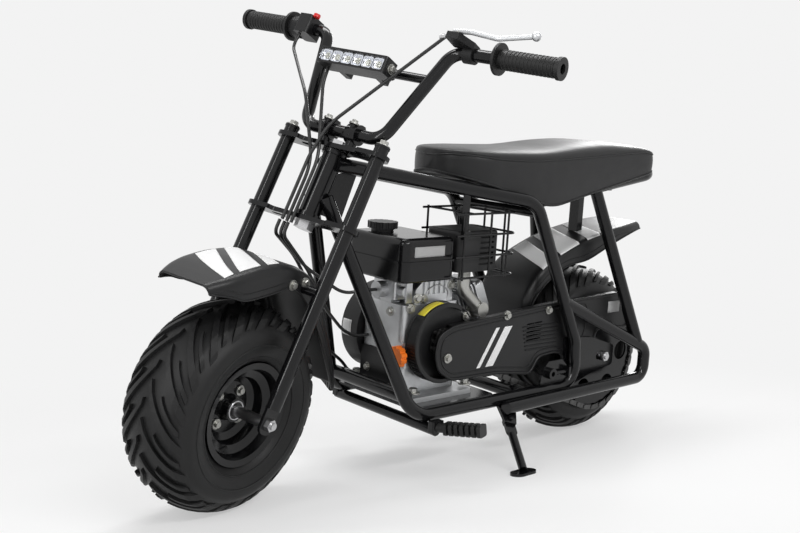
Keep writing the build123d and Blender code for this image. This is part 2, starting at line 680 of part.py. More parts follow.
rear_fender_stations = (
    (207, 236, 66, 16),
    (216, 300, 68, 22),
    (194, 344, 70, 27),
    (160, 375, 70, 31),
    (110, 399, 70, 32),
    (44, 421, 70, 43),
    (-36, 437, 70, 30),
    (-100, 446, 68, 19),
    (-146, 451, 60, 15),
)
rear_fender = fender(rear_fender_stations)
keep("rear_fender", "frame", rear_fender)

with BuildPart() as fender_stays:
    block((-8, 8), (-12, 12), (430, 524))
    block((-8, 8), (-seat_rail_half, seat_rail_half), (524, 528))
    block((207.6, 210.6), (-12, 12), (rail_height + tube_radius - 2, 240))
    block((207.6, rear_cross_x), (-12, 12), (rail_height + tube_radius - 2, rail_height + tube_radius + 2))
    add(rear_fender.part, mode=Mode.SUBTRACT)
    add(placed["cross_members"][1], mode=Mode.SUBTRACT)
    add(placed["seat_rails"][1], mode=Mode.SUBTRACT)
keep("fender_stays", "frame", fender_stays)

# Fork: legs with axle tabs, crowns, stem
with BuildPart() as fork_legs:
    for side in (-leg_half_gap, leg_half_gap):
        collar(stem_offset, side, leg_bottom, leg_top, leg_radius)
        collar(stem_offset, side, leg_top, leg_top + 4, leg_radius + 1)
        with BuildSketch(Plane(origin=on_stem(stem_offset, side - axle_tab / 2, 0), x_dir=stem_ahead, z_dir=(0, 1, 0))) as tab:
            with Locations((0, -22)):
                RectangleRounded(32, 80, 12)
        extrude(tab.sketch, amount=axle_tab)
        disc(782, 383, 8, *sorted((math.copysign(70.3, side), side)))
    disc(wheelbase, tyre_radius, axle_radius, -leg_half_gap - 5, leg_half_gap + 5, mode=Mode.SUBTRACT)
keep("fork_legs", "fork", fork_legs)

with BuildPart() as front_axle:
    disc(wheelbase, tyre_radius, axle_radius, -leg_half_gap - 16, leg_half_gap + 16)
    for low, high in ((hub_half + 0.3, leg_half_gap - axle_tab / 2), (-leg_half_gap + axle_tab / 2, -hub_half - 0.3)):
        disc(wheelbase, tyre_radius, 9.5, low, high)
    for low in (leg_half_gap + axle_tab / 2, -leg_half_gap - axle_tab / 2 - 9):
        with BuildSketch(Plane.XZ.offset(-low)) as nut:
            with Locations((wheelbase, tyre_radius)):
                RegularPolygon(nut_across, 6)
        extrude(nut.sketch, amount=-9)
keep("front_axle", "fork", front_axle)

for name, height in (("upper_crown", upper_crown_height), ("lower_crown", lower_crown_height)):
    with BuildPart() as crown:
        with BuildSketch(stem_plane.offset(height - crown_thickness / 2)):
            with Locations((stem_offset, -leg_half_gap), (stem_offset, leg_half_gap)):
                Circle(crown_clamp_radius)
            Circle(crown_hub_radius)
            make_hull()
        extrude(amount=crown_thickness)
        with BuildSketch(stem_plane.offset(height - crown_thickness)):
            Circle(stem_radius)
            with Locations((stem_offset, -leg_half_gap), (stem_offset, leg_half_gap)):
                Circle(leg_radius)
            with Locations((stem_offset / 2 + 2, -56), (stem_offset / 2 + 2, 56)):
                SlotOverall(26, 12, rotation=90)
        extrude(amount=2 * crown_thickness, mode=Mode.SUBTRACT)
        with BuildSketch(stem_plane.offset(height - crown_thickness)):
            with Locations((-47, -46), (-47, 46)):
                Circle(40)
            with Locations((39, 0)):
                RectangleRounded(30, 130, 12)
        extrude(amount=2 * crown_thickness, mode=Mode.SUBTRACT)
    keep(name, "fork", crown)

with BuildPart() as steering_stem:
    collar(0, 0, lower_crown_height - 12, upper_crown_height + 6, stem_radius)
    for low, high in ((upper_crown_height + crown_thickness / 2, upper_crown_height + 14),
                      (lower_crown_height - 16, lower_crown_height - crown_thickness / 2)):
        with BuildSketch(stem_plane.offset(low)):
            RegularPolygon(17, 6)
        extrude(amount=high - low)
keep("steering_stem", "fork", steering_stem)

# Handlebar, crossbar, clamps and controls
def bar_point(side, out=0.0):
    """Point along the straight end of the handlebar, given by its distance to the left."""
    share = (abs(side) - bar_half_shoulder) / (bar_half_width - bar_half_shoulder)
    return on_stem(bar_top_ahead - 3 * share + out, side, bar_top_height + 2 * share + out)


bar_corners = [bar_point(bar_half_width), bar_point(bar_half_shoulder),
               on_stem(bar_clamp_ahead, bar_half_bottom, bar_height), on_stem(bar_clamp_ahead, -bar_half_bottom, bar_height),
               bar_point(-bar_half_shoulder), bar_point(-bar_half_width)]
with BuildPart() as handlebar:
    pipe(*bar_corners, radius=bar_radius, bend=bar_bend)
    for side in (-1, 1):
        pipe(bar_point(side * (bar_half_width + 1)), bar_point(side * (bar_half_width - bar_end_depth)), radius=bar_end_bore, mode=Mode.SUBTRACT)
keep("handlebar", "fork", handlebar)

crossbar_share = (crossbar_height - bar_height) / (bar_top_height - bar_height)
crossbar_half = bar_half_bottom + crossbar_share * (bar_half_shoulder - bar_half_bottom)
crossbar_ahead = bar_clamp_ahead + crossbar_share * (bar_top_ahead - bar_clamp_ahead)
with BuildPart() as crossbar:
    pipe(on_stem(crossbar_ahead, -crossbar_half, crossbar_height), on_stem(crossbar_ahead, crossbar_half, crossbar_height), radius=crossbar_radius)
    add(handlebar.part, mode=Mode.SUBTRACT)
keep("handlebar_crossbar", "fork", crossbar)

with BuildPart() as bar_clamps:
    for side in (-bar_clamp_half_gap, bar_clamp_half_gap):
        near, far = side - bar_clamp_width / 2, side + bar_clamp_width / 2
        pipe(on_stem(bar_clamp_ahead, near, bar_height), on_stem(bar_clamp_ahead, far, bar_height), radius=bar_radius + 7)
        collar(bar_clamp_ahead, side, upper_crown_height + crown_thickness / 2, bar_height - bar_radius, 10)
        for ahead in (-13, 13):
            collar(bar_clamp_ahead + ahead, side, bar_height - 8, bar_height + 14, 5)
    pipe(on_stem(bar_clamp_ahead, -60, bar_height), on_stem(bar_clamp_ahead, 60, bar_height), radius=bar_radius, mode=Mode.SUBTRACT)
    add(steering_stem.part, mode=Mode.SUBTRACT)
keep("bar_clamps", "fork", bar_clamps)

grip_start = bar_half_width + 4 - grip_length
with BuildPart() as grips:
    for side in (-1, 1):
        pipe(bar_point(side * grip_start), bar_point(side * (bar_half_width + 4)), radius=grip_radius)
        pipe(bar_point(side * (grip_start - 3)), bar_point(side * (grip_start + 2)), radius=grip_flange_radius)
        pipe(bar_point(side * (bar_half_width - 3)), bar_point(side * (bar_half_width + 4)), radius=grip_radius + 3)
        pipe(bar_point(side * (grip_start - 5)), bar_point(side * bar_half_width), radius=bar_radius, mode=Mode.SUBTRACT)
        pipe(bar_point(side * (bar_half_width - 2)), bar_point(side * (bar_half_width + 6)), radius=bar_end_bore, mode=Mode.SUBTRACT)
keep("grips", "fork", grips)

with BuildPart() as throttle_pod:
    pipe(bar_point(-(grip_start - 4)), bar_point(-(grip_start - 26)), radius=20)
    with BuildSketch(stem_plane.offset(bar_top_height - 17)):
        with Locations((bar_top_ahead + 3, -(grip_start - 42))):
            RectangleRounded(44, 32, 6)
    extrude(amount=36)
    pipe(bar_point(-(grip_start + 6)), bar_point(-(grip_start - 80)), radius=bar_radius, mode=Mode.SUBTRACT)
keep("throttle_pod", "fork", throttle_pod)

with BuildPart() as brake_perch:
    pipe(bar_point(162), bar_point(181), radius=bar_radius + 5)
    with BuildSketch(stem_plane.offset(bar_top_height + 4)):
        with BuildLine():
            Polyline((bar_top_ahead - 6, 162), (bar_top_ahead + 12, 142), (28, 142), (28, 166), (bar_top_ahead + 14, 181),
                     (bar_top_ahead - 6, 181), close=True)
        make_face()
    extrude(amount=12)
    pipe(bar_point(139), bar_point(210), radius=bar_radius, mode=Mode.SUBTRACT)
keep("brake_perch", "fork", brake_perch)

with BuildPart() as brake_lever:
    pipe(on_stem(18, 148, 709), on_stem(26, 186, 708), on_stem(24, 238, 704), on_stem(14, 292, 721), radius=4.5, bend=24)
    with Locations(on_stem(13, 297, 722.6)):
        Sphere(8)
    add(brake_perch.part, mode=Mode.SUBTRACT)
keep("brake_lever", "fork", brake_lever)

light_low, light_high, light_half, light_back, light_front = 604.0, 634.0, 73.0, 12.0, 48.0
light_side = -9.0
with BuildPart() as light_bar:
    with BuildSketch(stem_plane.offset(light_low)):
        with Locations(((light_back + light_front) / 2, light_side)):
            RectangleRounded(light_front - light_back, 2 * light_half, 5)
    extrude(amount=light_high - light_low)
    for side in (-46, 35):
        pipe(on_stem(crossbar_ahead, side - 6, crossbar_height), on_stem(crossbar_ahead, side + 6, crossbar_height), radius=crossbar_radius + 4)
        with BuildSketch(stem_plane.offset(light_low)):
            with Locations(((crossbar_ahead + light_back) / 2, side)):
                Rectangle(light_back - crossbar_ahead + 2, 12)
        extrude(amount=20)
    with BuildSketch(stem_plane.offset(light_low + 4)):
        with Locations((light_front, light_side)):
            Rectangle(20, 2 * light_half - 10)
    extrude(amount=light_high - light_low - 8, mode=Mode.SUBTRACT)
    pipe(on_stem(crossbar_ahead, -90, crossbar_height), on_stem(crossbar_ahead, 90, crossbar_height), radius=crossbar_radius, mode=Mode.SUBTRACT)
keep("light_bar", "fork", light_bar)

light_middle = (light_low + light_high) / 2
with BuildPart() as light_reflectors:
    for lamp in range(6):
        centre = on_stem(light_front - 9.7, light_side + (lamp - 2.5) * 22.5, light_middle)
        with BuildSketch(Plane(origin=centre, x_dir=(0, 1, 0), z_dir=stem_ahead)):
            RectangleRounded(21, 20, 4)
        extrude(amount=6)
        with BuildSketch(Plane(origin=centre + stem_ahead * 6, x_dir=(0, 1, 0), z_dir=stem_ahead)):
            RectangleRounded(17, 16, 3)
        extrude(amount=-5, mode=Mode.SUBTRACT)
keep("light_reflectors", "fork", light_reflectors)

with BuildPart() as light_lens:
    with BuildSketch(Plane(origin=on_stem(light_front - 3.2, light_side, light_middle), x_dir=(0, 1, 0), z_dir=stem_ahead)):
        RectangleRounded(2 * light_half - 10.6, light_high - light_low - 8.6, 2)
    extrude(amount=2.6)
keep("light_lens", "fork", light_lens)

front_fender_stations = (
    (984, 408, 56, 15),
    (956, 416, 66, 28),
    (922, 423, 70, 44),
    (865, 428, 70, 46),
    (800, 421, 70, 36),
    (746, 386, 70, 38),
    (704, 312, 70, 30),
    (672, 240, 69, 24),
    (656, 190, 68, 17),
)
front_fender = fender(front_fender_stations)
keep("front_fender", "fork", front_fender)

# Cables: from the controls to a level under the lower crown, then from there to the engine
cable_level = 321.0
fork_cables = (
    ((20, 138.8, 698), (37, -6, 500), (38, -18, 440), (38, -18, cable_level)),
    ((0, -188, 669.8), (4, -186, 640), (34, -84, 545), (30.5, -13.5, 430), (30.5, -13.5, cable_level)),
    ((30, -64, light_low - 0.3), (31, -60, 572), (29, -5, 440), (29, -5, cable_level)),
)
with BuildPart() as control_cables:
    for route in fork_cables:
        route = [on_stem(*point) for point in route]
        pipe(*route, radius=cable_radius, bend=cord_bends(route))
keep("control_cables", "fork", control_cables)
cable_ends = (
    ((690, -58, 404), (642, -64, 330), (612, -76, 236), (556, -80, 194), (522, -94.6, 163.2),
     (212, -95.2, 163), (150, -95.2, 170), (96, -95.2, 214)),
    ((692, -30, 392), (622, -4, 342), (case_front + 54, 4, case_top + 24), (case_front + 24.3, 4, case_top + 24)),
    ((700, -8, 390), (642, -22, 310), (596, -34, 268), (case_front + 32, -40, 250), (case_front + 0.4, -40, 250)),
)
with BuildPart() as engine_cables:
    for route, end in zip(fork_cables, cable_ends):
        ahead, side, level = route[-1]
        whole = [on_stem(ahead, side, level - 0.5), on_stem(ahead, side, level - 24), *end]
        pipe(*whole, radius=cable_radius, bend=cord_bends(whole))
keep("engine_cables", "frame", engine_cables)

# How it parks: the fork turned, the bike leaning left on its stand, both tyres and the foot on the floor
def tyre_reach(up, axle):
    """Distance from a wheel's centre down to the lowest point of its rounded tread."""
    across = math.sqrt(1 - up.dot(axle) ** 2)
    return (tyre_radius - tread_crown_radius) * across + tread_crown_radius


stem_axis = Axis(stem_foot, stem_up)
front_centre = stem_foot + (stem_ahead * stem_offset).rotate(Axis((0, 0, 0), stem_up), steer_rest)
front_axle_line = Vector(0, 1, 0).rotate(Axis((0, 0, 0), stem_up), steer_rest)
rear_centre = Vector(0, 0, tyre_radius)
pitch = 0.0
for attempt in range(4):
    floor_up = Vector(-math.sin(rad(pitch)), -math.cos(rad(pitch)) * math.sin(rad(lean)),
                      math.cos(rad(pitch)) * math.cos(rad(lean)))
    floor_level = rear_centre.dot(floor_up) - tyre_reach(floor_up, Vector(0, 1, 0))
    front_level = front_centre.dot(floor_up) - tyre_reach(floor_up, front_axle_line)
    pitch += math.degrees(math.atan2(front_level - floor_level, wheelbase))

# Side stand: bracket under the left hoop, leg that swings back on a sloping bolt
stand_pivot = Vector(stand_x, hoop_side, hoop_front[2] - tube_radius - stand_drop)
foot = Vector(stand_foot_x, stand_foot_y, 0)
foot = foot + Vector(0, 0, 1) * ((floor_level - foot.dot(floor_up)) / floor_up.Z)
leg_end = foot + floor_up * stand_leg_radius
leg_line = (leg_end - stand_pivot).normalized()
stowed_line = Vector(-0.955, 0.26, -0.14).normalized()
stand_axis = leg_line.cross(stowed_line).normalized()
stand_swing = leg_line.get_angle(stowed_line)
stand_plane = Plane(origin=stand_pivot, x_dir=leg_line, z_dir=stand_axis)
stand_bolt = 5.0
with BuildPart() as stand_bracket:
    with BuildSketch(stand_plane.offset(stand_tongue / 2 + 0.3)):
        with BuildLine():
            Polyline((-34, -20), (10, -14), (12, 10), (-34, 22), close=True)
        make_face()
    extrude(amount=6)
    with BuildSketch(stand_plane.offset(-stand_tongue / 2 - 6)):
        Circle(stand_bolt)
    extrude(amount=stand_tongue + 16)
    with BuildSketch(stand_plane.offset(-stand_tongue / 2 - 6.3)):
        RegularPolygon(9, 6)
    extrude(amount=6)
    add(placed["hoop_rails"][1], mode=Mode.SUBTRACT)
    add(placed["lower_rails"][1], mode=Mode.SUBTRACT)
keep("stand_bracket", "frame", stand_bracket)

with BuildPart() as side_stand:
    with BuildSketch(stand_plane.offset(-stand_tongue / 2)):
        with Locations((12, 0)):
            SlotOverall(48, 22)
    extrude(amount=stand_tongue)
    pipe(stand_pivot + leg_line * 30, leg_end, radius=stand_leg_radius)
    with BuildSketch(Plane(origin=foot, x_dir=(1, 0, 0), z_dir=floor_up)) as sole:
        SlotOverall(56, 30)
    extrude(sole.sketch, amount=5)
    with BuildSketch(Plane(origin=foot - floor_up * 20, x_dir=(1, 0, 0), z_dir=floor_up)) as below:
        Rectangle(120, 120)
    extrude(below.sketch, amount=20, mode=Mode.SUBTRACT)
    with BuildSketch(stand_plane.offset(-stand_tongue)) as bore:
        Circle(stand_bolt + running_gap)
    extrude(bore.sketch, amount=2 * stand_tongue, mode=Mode.SUBTRACT)
keep("side_stand", "side_stand", side_stand)

# Turn the fork and its wheel, lean the bike, and set the middle of its base at the origin
for name, (body, piece) in placed.items():
    if body in ("fork", "front_wheel"):
        piece = piece.rotate(stem_axis, steer_rest)
    placed[name] = (body, piece.rotate(Axis.X, -lean).rotate(Axis.Y, pitch))
boxes = [piece.bounding_box() for body, piece in placed.values()]
base_middle = Vector((min(box.min.X for box in boxes) + max(box.max.X for box in boxes)) / 2,
                     (min(box.min.Y for box in boxes) + max(box.max.Y for box in boxes)) / 2,
                     min(box.min.Z for box in boxes))

os.makedirs("parts", exist_ok=True)
for name, (body, piece) in placed.items():
    piece = piece.moved(Location(-base_middle))
    piece.label = name
    export_step(piece, f"parts/{name}.step")
    placed[name] = (body, piece)
    print(name, body, len(piece.solids()), round(piece.volume / 1000, 1))
print("size", [round(max(getattr(b.max, a) for b in boxes) - min(getattr(b.min, a) for b in boxes)) for a in "XYZ"], "pitch", pitch, "level", floor_level, "swing", stand_swing)
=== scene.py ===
"""Finishes, tread, fender shells, seat cover, chain and small fittings for the minibike.

Sizes are in metres, apart from the stations of the seat and the fenders, which are in millimetres. Pieces
are drawn in the bike's own upright axes, X ahead, Y to its left and Z up, with the rear axle above the
origin, and are then leaned onto the side stand. Pieces on the fork turn with it first.
"""
import math

import bmesh
import bpy
from mathutils import Matrix, Vector, noise


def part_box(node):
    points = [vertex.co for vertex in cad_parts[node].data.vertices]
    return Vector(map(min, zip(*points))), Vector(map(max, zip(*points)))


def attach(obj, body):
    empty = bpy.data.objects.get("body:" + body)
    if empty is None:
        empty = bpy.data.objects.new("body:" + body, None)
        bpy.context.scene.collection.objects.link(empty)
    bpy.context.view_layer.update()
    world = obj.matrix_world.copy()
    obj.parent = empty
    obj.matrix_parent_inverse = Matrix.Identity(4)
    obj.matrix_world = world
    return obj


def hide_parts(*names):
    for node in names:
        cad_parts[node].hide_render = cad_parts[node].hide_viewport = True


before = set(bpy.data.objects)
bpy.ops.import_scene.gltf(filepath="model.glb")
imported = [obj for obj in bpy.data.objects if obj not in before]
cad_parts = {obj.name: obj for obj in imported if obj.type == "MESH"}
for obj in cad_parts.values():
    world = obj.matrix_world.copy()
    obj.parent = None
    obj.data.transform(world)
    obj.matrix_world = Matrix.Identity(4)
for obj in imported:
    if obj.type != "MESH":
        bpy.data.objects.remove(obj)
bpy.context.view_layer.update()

# How the bike stands
LEAN = math.radians(7.0)
PITCH = math.radians(0.046)
STEER = math.radians(14.0)
RAKE = math.radians(25.5)
WHEELBASE = 0.870
STEM_OFFSET = 0.0135

# Tyres
TYRE_RADIUS = 0.178
TREAD_HALF = 0.052
CROWN_RADIUS = 0.105
SHOULDER_RADIUS = TYRE_RADIUS - CROWN_RADIUS + math.sqrt(CROWN_RADIUS**2 - TREAD_HALF**2)
SIDE_BULGE = (0.071, 0.128)
BEAD = (0.0536, 0.0895)
RIM_SEAT = 0.078
TREAD_END = 0.088
TREAD_FADE = 0.022
WALL_RINGS = (0.100, 0.121)
LUG_DEPTH = 0.0062
LUG_PAIRS = 18
LUG_SECTIONS = 9
LUG_CURVE = 0.85
LUG_TAPER = 0.8
# Start and end along the profile, sweep and lag round the wheel, half widths, share of the depth
LUGS = ((0.002, 0.078, 0.62, 0.0, (0.0058, 0.0095), 1.0), (0.030, 0.070, 0.30, 0.10, (0.0035, 0.0048), 0.8))

# Drive
CHAIN_LINE = 0.086
CHAIN_PITCH = 0.0127
SPROCKET_TEETH = 56
DRIVE_TEETH = 10
CRANK_X, CRANK_Z = 0.455, 0.2537

LINK_REACH, LINK_HALF, LINK_WALL = 0.0052, 0.0048, 0.0007
INNER_PLATE, OUTER_PLATE = 0.0042, 0.0058
ROLLER_RADIUS, PIN_LENGTH = 0.0036, 0.0135

# Grips, on the straight ends of the handlebar
BAR_BEND, BAR_STRAIGHT = 0.138, 0.202
GRIP_START, GRIP_END = 0.236, 0.334
GRIP_RADIUS, GRIP_RIB, GRIP_STEPS, GRIP_SIDES = 0.0159, 0.0011, 112, 48

BEAD_RADIUS = 0.0016
SIDES = ((1, "left"), (-1, "right"))
LEFT, AHEAD, UP = (0, 1, 0), (1, 0, 0), (0, 0, 1)

# Placing
low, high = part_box("rear_axle")
rear_centre = (low + high) / 2
BIKE = (Matrix.Translation(rear_centre) @ Matrix.Rotation(PITCH, 4, "Y") @ Matrix.Rotation(-LEAN, 4, "X")
        @ Matrix.Translation((0, 0, -TYRE_RADIUS)))
STEM_UP = Vector((-math.sin(RAKE), 0, math.cos(RAKE)))
STEM_AHEAD = Vector((math.cos(RAKE), 0, math.sin(RAKE)))
STEM_FOOT = Vector((WHEELBASE, 0, TYRE_RADIUS)) - STEM_AHEAD * STEM_OFFSET
FORK = (BIKE @ Matrix.Translation(STEM_FOOT) @ Matrix.Rotation(STEER, 4, STEM_UP)
        @ Matrix.Translation(-STEM_FOOT))
STAND_OF = {"frame": BIKE, "rear_wheel": BIKE, "fork": FORK, "front_wheel": FORK}


def on_stem(ahead, side, height):
    """Point given ahead of the steering axis, to the left of it and up along it."""
    return STEM_FOOT + STEM_AHEAD * ahead + Vector((0, side, 0)) + STEM_UP * height


def wheel_point(axle_x, side, radius, angle):
    """Point on a wheel, from its distance to the left, its radius and its angle."""
    return Vector((axle_x + radius * math.sin(angle), side, TYRE_RADIUS + radius * math.cos(angle)))


def wheel_circle(axle_x, side, radius, count):
    """Points round a wheel."""
    return [wheel_point(axle_x, side, radius, math.tau * k / count) for k in range(count)]


def between(a, b, share):
    """Value at a share of the way from a to b."""
    return a + (b - a) * share


def clamp(value):
    """Value held between 0 and 1."""
    return max(0.0, min(1.0, value))


# Nodes
def set_inputs(node, values):
    """Give a node's inputs their values."""
    for name, value in values.items():
        node.inputs[name].default_value = value
    return node


def add(tree, kind, values=None, **settings):
    """Node with its settings and the values of its inputs."""
    node = tree.nodes.new(kind)
    for name, value in settings.items():
        setattr(node, name, value)
    return set_inputs(node, values or {})


def wire(tree, *links):
    """Links, each given as node, output, node, input."""
    for source, out, target, into in links:
        tree.links.new(source.outputs[out], target.inputs[into])


def new_material(name, values):
    """Material, its node tree, and its shader with the given inputs."""
    material = bpy.data.materials.new(name)
    material.use_nodes = True
    tree = material.node_tree
    return material, tree, set_inputs(tree.nodes["Principled BSDF"], values)


def effect(name, inputs, outputs):
    """Empty shader node group with number sockets: inputs with their values, and outputs."""
    group = bpy.data.node_groups.new(name, "ShaderNodeTree")
    for label, value in inputs.items():
        socket = group.interface.new_socket(label, in_out="INPUT", socket_type="NodeSocketFloat")
        socket.default_value = value
    for label in outputs:
        group.interface.new_socket(label, in_out="OUTPUT", socket_type="NodeSocketFloat")
    return group, group.nodes.new("NodeGroupInput"), group.nodes.new("NodeGroupOutput")


def grain_effect():
    """Grain in two sizes, as a height and as a mask."""
    group, start, end = effect("surface_grain", {"Fine": 900.0, "Coarse": 40.0}, ("Height", "Mask"))
    place = add(group, "ShaderNodeTexCoord")
    for label, detail, result in (("Fine", 3, "Height"), ("Coarse", 5, "Mask")):
        texture = add(group, "ShaderNodeTexNoise", {"Detail": detail})
        wire(group, (place, "Object", texture, "Vector"), (start, label, texture, "Scale"),
             (texture, "Fac", end, result))
    return group


def dust_effect():
    """Dust and rubbed patches, in a pattern of noise."""
    group, start, end = effect("settled_dust", {"Scale": 14.0, "Amount": 0.3}, ("Mask",))
    place = add(group, "ShaderNodeTexCoord")
    texture = add(group, "ShaderNodeTexNoise", {"Detail": 6, "Roughness": 0.65})
    ramp = add(group, "ShaderNodeMapRange", {"From Min": 0.42, "From Max": 0.75})
    scale = add(group, "ShaderNodeMath", operation="MULTIPLY")
    wire(group, (place, "Object", texture, "Vector"), (start, "Scale", texture, "Scale"),
         (texture, "Fac", ramp, "Value"), (ramp, "Result", scale, 0), (start, "Amount", scale, 1),
         (scale, 0, end, "Mask"))
    return group


GRAIN = grain_effect()
DUST = dust_effect()


# Finishes
def finish_of(name, colour, rough, worn_colour=None, worn_rough=None, metal=0.0, fine=900.0, coarse=30.0,
              bump=0.05, reach=0.0004, dust=0.3, specular=0.5, sheen=0.0):
    """Material with grain, patches of another tone and a little relief."""
    material, tree, shader = new_material(
        name, {"Metallic": metal, "Specular IOR Level": specular, "Sheen Weight": sheen})
    grain = add(tree, "ShaderNodeGroup", {"Fine": fine, "Coarse": coarse}, node_tree=GRAIN)
    patches = add(tree, "ShaderNodeGroup", {"Amount": dust, "Scale": coarse / 2}, node_tree=DUST)
    worn = worn_colour or [c * 1.6 + 0.01 for c in colour]
    tone = add(tree, "ShaderNodeMix", {"A": (*colour, 1), "B": (*worn, 1)}, data_type="RGBA")
    spread = add(tree, "ShaderNodeMapRange", {"To Min": rough, "To Max": worn_rough or min(1.0, rough + 0.15)})
    relief = add(tree, "ShaderNodeBump", {"Strength": bump, "Distance": reach})
    wire(tree, (patches, "Mask", tone, "Factor"), (tone, "Result", shader, "Base Color"),
         (grain, "Mask", spread, "Value"), (spread, "Result", shader, "Roughness"),
         (grain, "Height", relief, "Height"), (relief, "Normal", shader, "Normal"))
    return material


gloss_black = finish_of("gloss_black_enamel", (0.004, 0.004, 0.0045), 0.12, worn_rough=0.2, fine=300,
                        bump=0.03, dust=0.1, specular=0.32)
satin_black = finish_of("satin_black_plastic", (0.008, 0.008, 0.0085), 0.30, worn_rough=0.45, fine=1500,
                        bump=0.10, dust=0.15, specular=0.30)
soft_black = finish_of("fine_textured_black", (0.007, 0.007, 0.0075), 0.38, worn_rough=0.55, fine=1800,
                       bump=0.14, dust=0.2, specular=0.30)
rubber = finish_of("tyre_rubber", (0.007, 0.007, 0.0072), 0.40, worn_colour=(0.016, 0.016, 0.0165),
                   worn_rough=0.58, fine=700, bump=0.18, dust=0.3, specular=0.30)
moulded_rubber = finish_of("moulded_grip_rubber", (0.006, 0.006, 0.006), 0.40, worn_rough=0.55, fine=1200,
                           bump=0.14, specular=0.35)
vinyl = finish_of("seat_vinyl", (0.010, 0.010, 0.0105), 0.36, worn_rough=0.48, fine=620, bump=0.35,
                  reach=0.0006, coarse=18, sheen=0.05, specular=0.32)
cast_alloy = finish_of("cast_alloy", (0.60, 0.61, 0.62), 0.34, worn_colour=(0.42, 0.42, 0.43), worn_rough=0.5,
                       metal=0.9, fine=1100, bump=0.22, dust=0.5, coarse=60)
bright_steel = finish_of("bright_steel", (0.55, 0.55, 0.56), 0.22, worn_colour=(0.40, 0.39, 0.38),
                         worn_rough=0.38, metal=1.0, fine=1400, bump=0.08, dust=0.4, coarse=80)
zinc_steel = finish_of("zinc_plated_steel", (0.42, 0.42, 0.40), 0.30, worn_colour=(0.30, 0.29, 0.26),
                       worn_rough=0.42, metal=1.0, fine=1400, bump=0.08, dust=0.5, coarse=90)
muffler_grey = finish_of("heat_proof_grey", (0.012, 0.012, 0.0125), 0.42, worn_rough=0.6, fine=900,
                         bump=0.16, dust=0.3, specular=0.35)
sheath = finish_of("cable_sheath", (0.008, 0.008, 0.008), 0.30, worn_rough=0.42, fine=900, bump=0.08)
orange = finish_of("orange_plastic", (0.88, 0.19, 0.012), 0.36, worn_colour=(0.8, 0.16, 0.01), worn_rough=0.48,
                   fine=1200, bump=0.08)
red_plastic = finish_of("red_plastic", (0.55, 0.012, 0.01), 0.30, fine=1200, bump=0.05)
chain_steel = finish_of("oiled_chain_steel", (0.10, 0.10, 0.10), 0.30, worn_colour=(0.05, 0.048, 0.045),
                        worn_rough=0.45, metal=1.0, fine=1400, bump=0.08, dust=0.5, coarse=90)
lamp_white = finish_of("lamp_white", (0.72, 0.70, 0.60), 0.25, fine=900, bump=0.03)
reflector = finish_of("lamp_reflector", (0.85, 0.85, 0.87), 0.12, metal=1.0, fine=500, bump=0.04, dust=0.1)
white_print = finish_of("white_print", (0.78, 0.78, 0.78), 0.40, worn_colour=(0.70, 0.70, 0.70), fine=1500,
                        bump=0.04, dust=0.3)
yellow_print = finish_of("yellow_print", (0.80, 0.68, 0.05), 0.42, worn_colour=(0.72, 0.6, 0.05), fine=1500,
                         bump=0.04)
grey_print = finish_of("grey_print", (0.35, 0.35, 0.35), 0.42, fine=1500, bump=0.04)


def clear_lens():
    """Clear rippled plastic over the lamps."""
    material, tree, shader = new_material("clear_lens", {
        "Base Color": (0.95, 0.97, 1.0, 1), "Roughness": 0.03, "IOR": 1.45, "Transmission Weight": 1.0})
    place = add(tree, "ShaderNodeTexCoord")
    ripple = add(tree, "ShaderNodeTexWave", {"Scale": 120}, wave_type="BANDS")
    relief = add(tree, "ShaderNodeBump", {"Strength": 0.2, "Distance": 0.0003})
    wire(tree, (place, "Object", ripple, "Vector"), (ripple, "Fac", relief, "Height"),
         (relief, "Normal", shader, "Normal"))
    return material


NODE_FINISH = {
    gloss_black: ("head_tube", "top_rails", "rear_uprights", "lower_rails", "down_tubes", "cross_members",
                  "hoop_stays", "hoop_rails", "seat_rails", "seat_struts", "tail_bar", "dropouts",
                  "engine_plate", "peg_bar", "fender_stays", "fork_legs", "upper_crown", "lower_crown",
                  "rear_sprocket", "chain_tensioner", "handlebar", "handlebar_crossbar", "bar_clamps",
                  "stand_bracket", "side_stand", "fuel_tank", "front_rim", "rear_rim", "muffler_cage"),
    satin_black: ("rear_fender", "front_fender", "chain_cover", "light_bar", "brake_drum", "fuel_cap",
                  "throttle_pod", "clutch_guard"),
    soft_black: ("recoil_starter", "seat_pan", "brake_perch"),
    rubber: ("front_tyre", "rear_tyre"),
    vinyl: ("seat",),
    moulded_rubber: ("grips", "foot_pegs"),
    cast_alloy: ("engine_block", "engine_shroud", "carburettor", "brake_lever"),
    bright_steel: ("rear_axle", "front_axle", "steering_stem"),
    zinc_steel: ("drive_chain", "exhaust_elbow"),
    muffler_grey: ("muffler",),
    sheath: ("control_cables", "engine_cables"),
    orange: ("oil_cap",),
    reflector: ("light_reflectors",),
    clear_lens(): ("light_lens",),
}
for material, names in NODE_FINISH.items():
    for name in names:
        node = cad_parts[name]
        node.data.materials.clear()
        node.data.materials.append(material)

# Slot name for each finish of a piece; prints and the stop button have none
SLOT_OF = {satin_black: "satin_black", rubber: "tyre_rubber", moulded_rubber: "grip_rubber",
           vinyl: "black_vinyl", bright_steel: "bright_steel", zinc_steel: "bright_steel",
           chain_steel: "bright_steel", lamp_white: "lamp_silver"}


# Making pieces
def linked(name, data):
    """Object with this data, in the scene."""
    made = bpy.data.objects.new(name, data)
    bpy.context.scene.collection.objects.link(made)
    return made


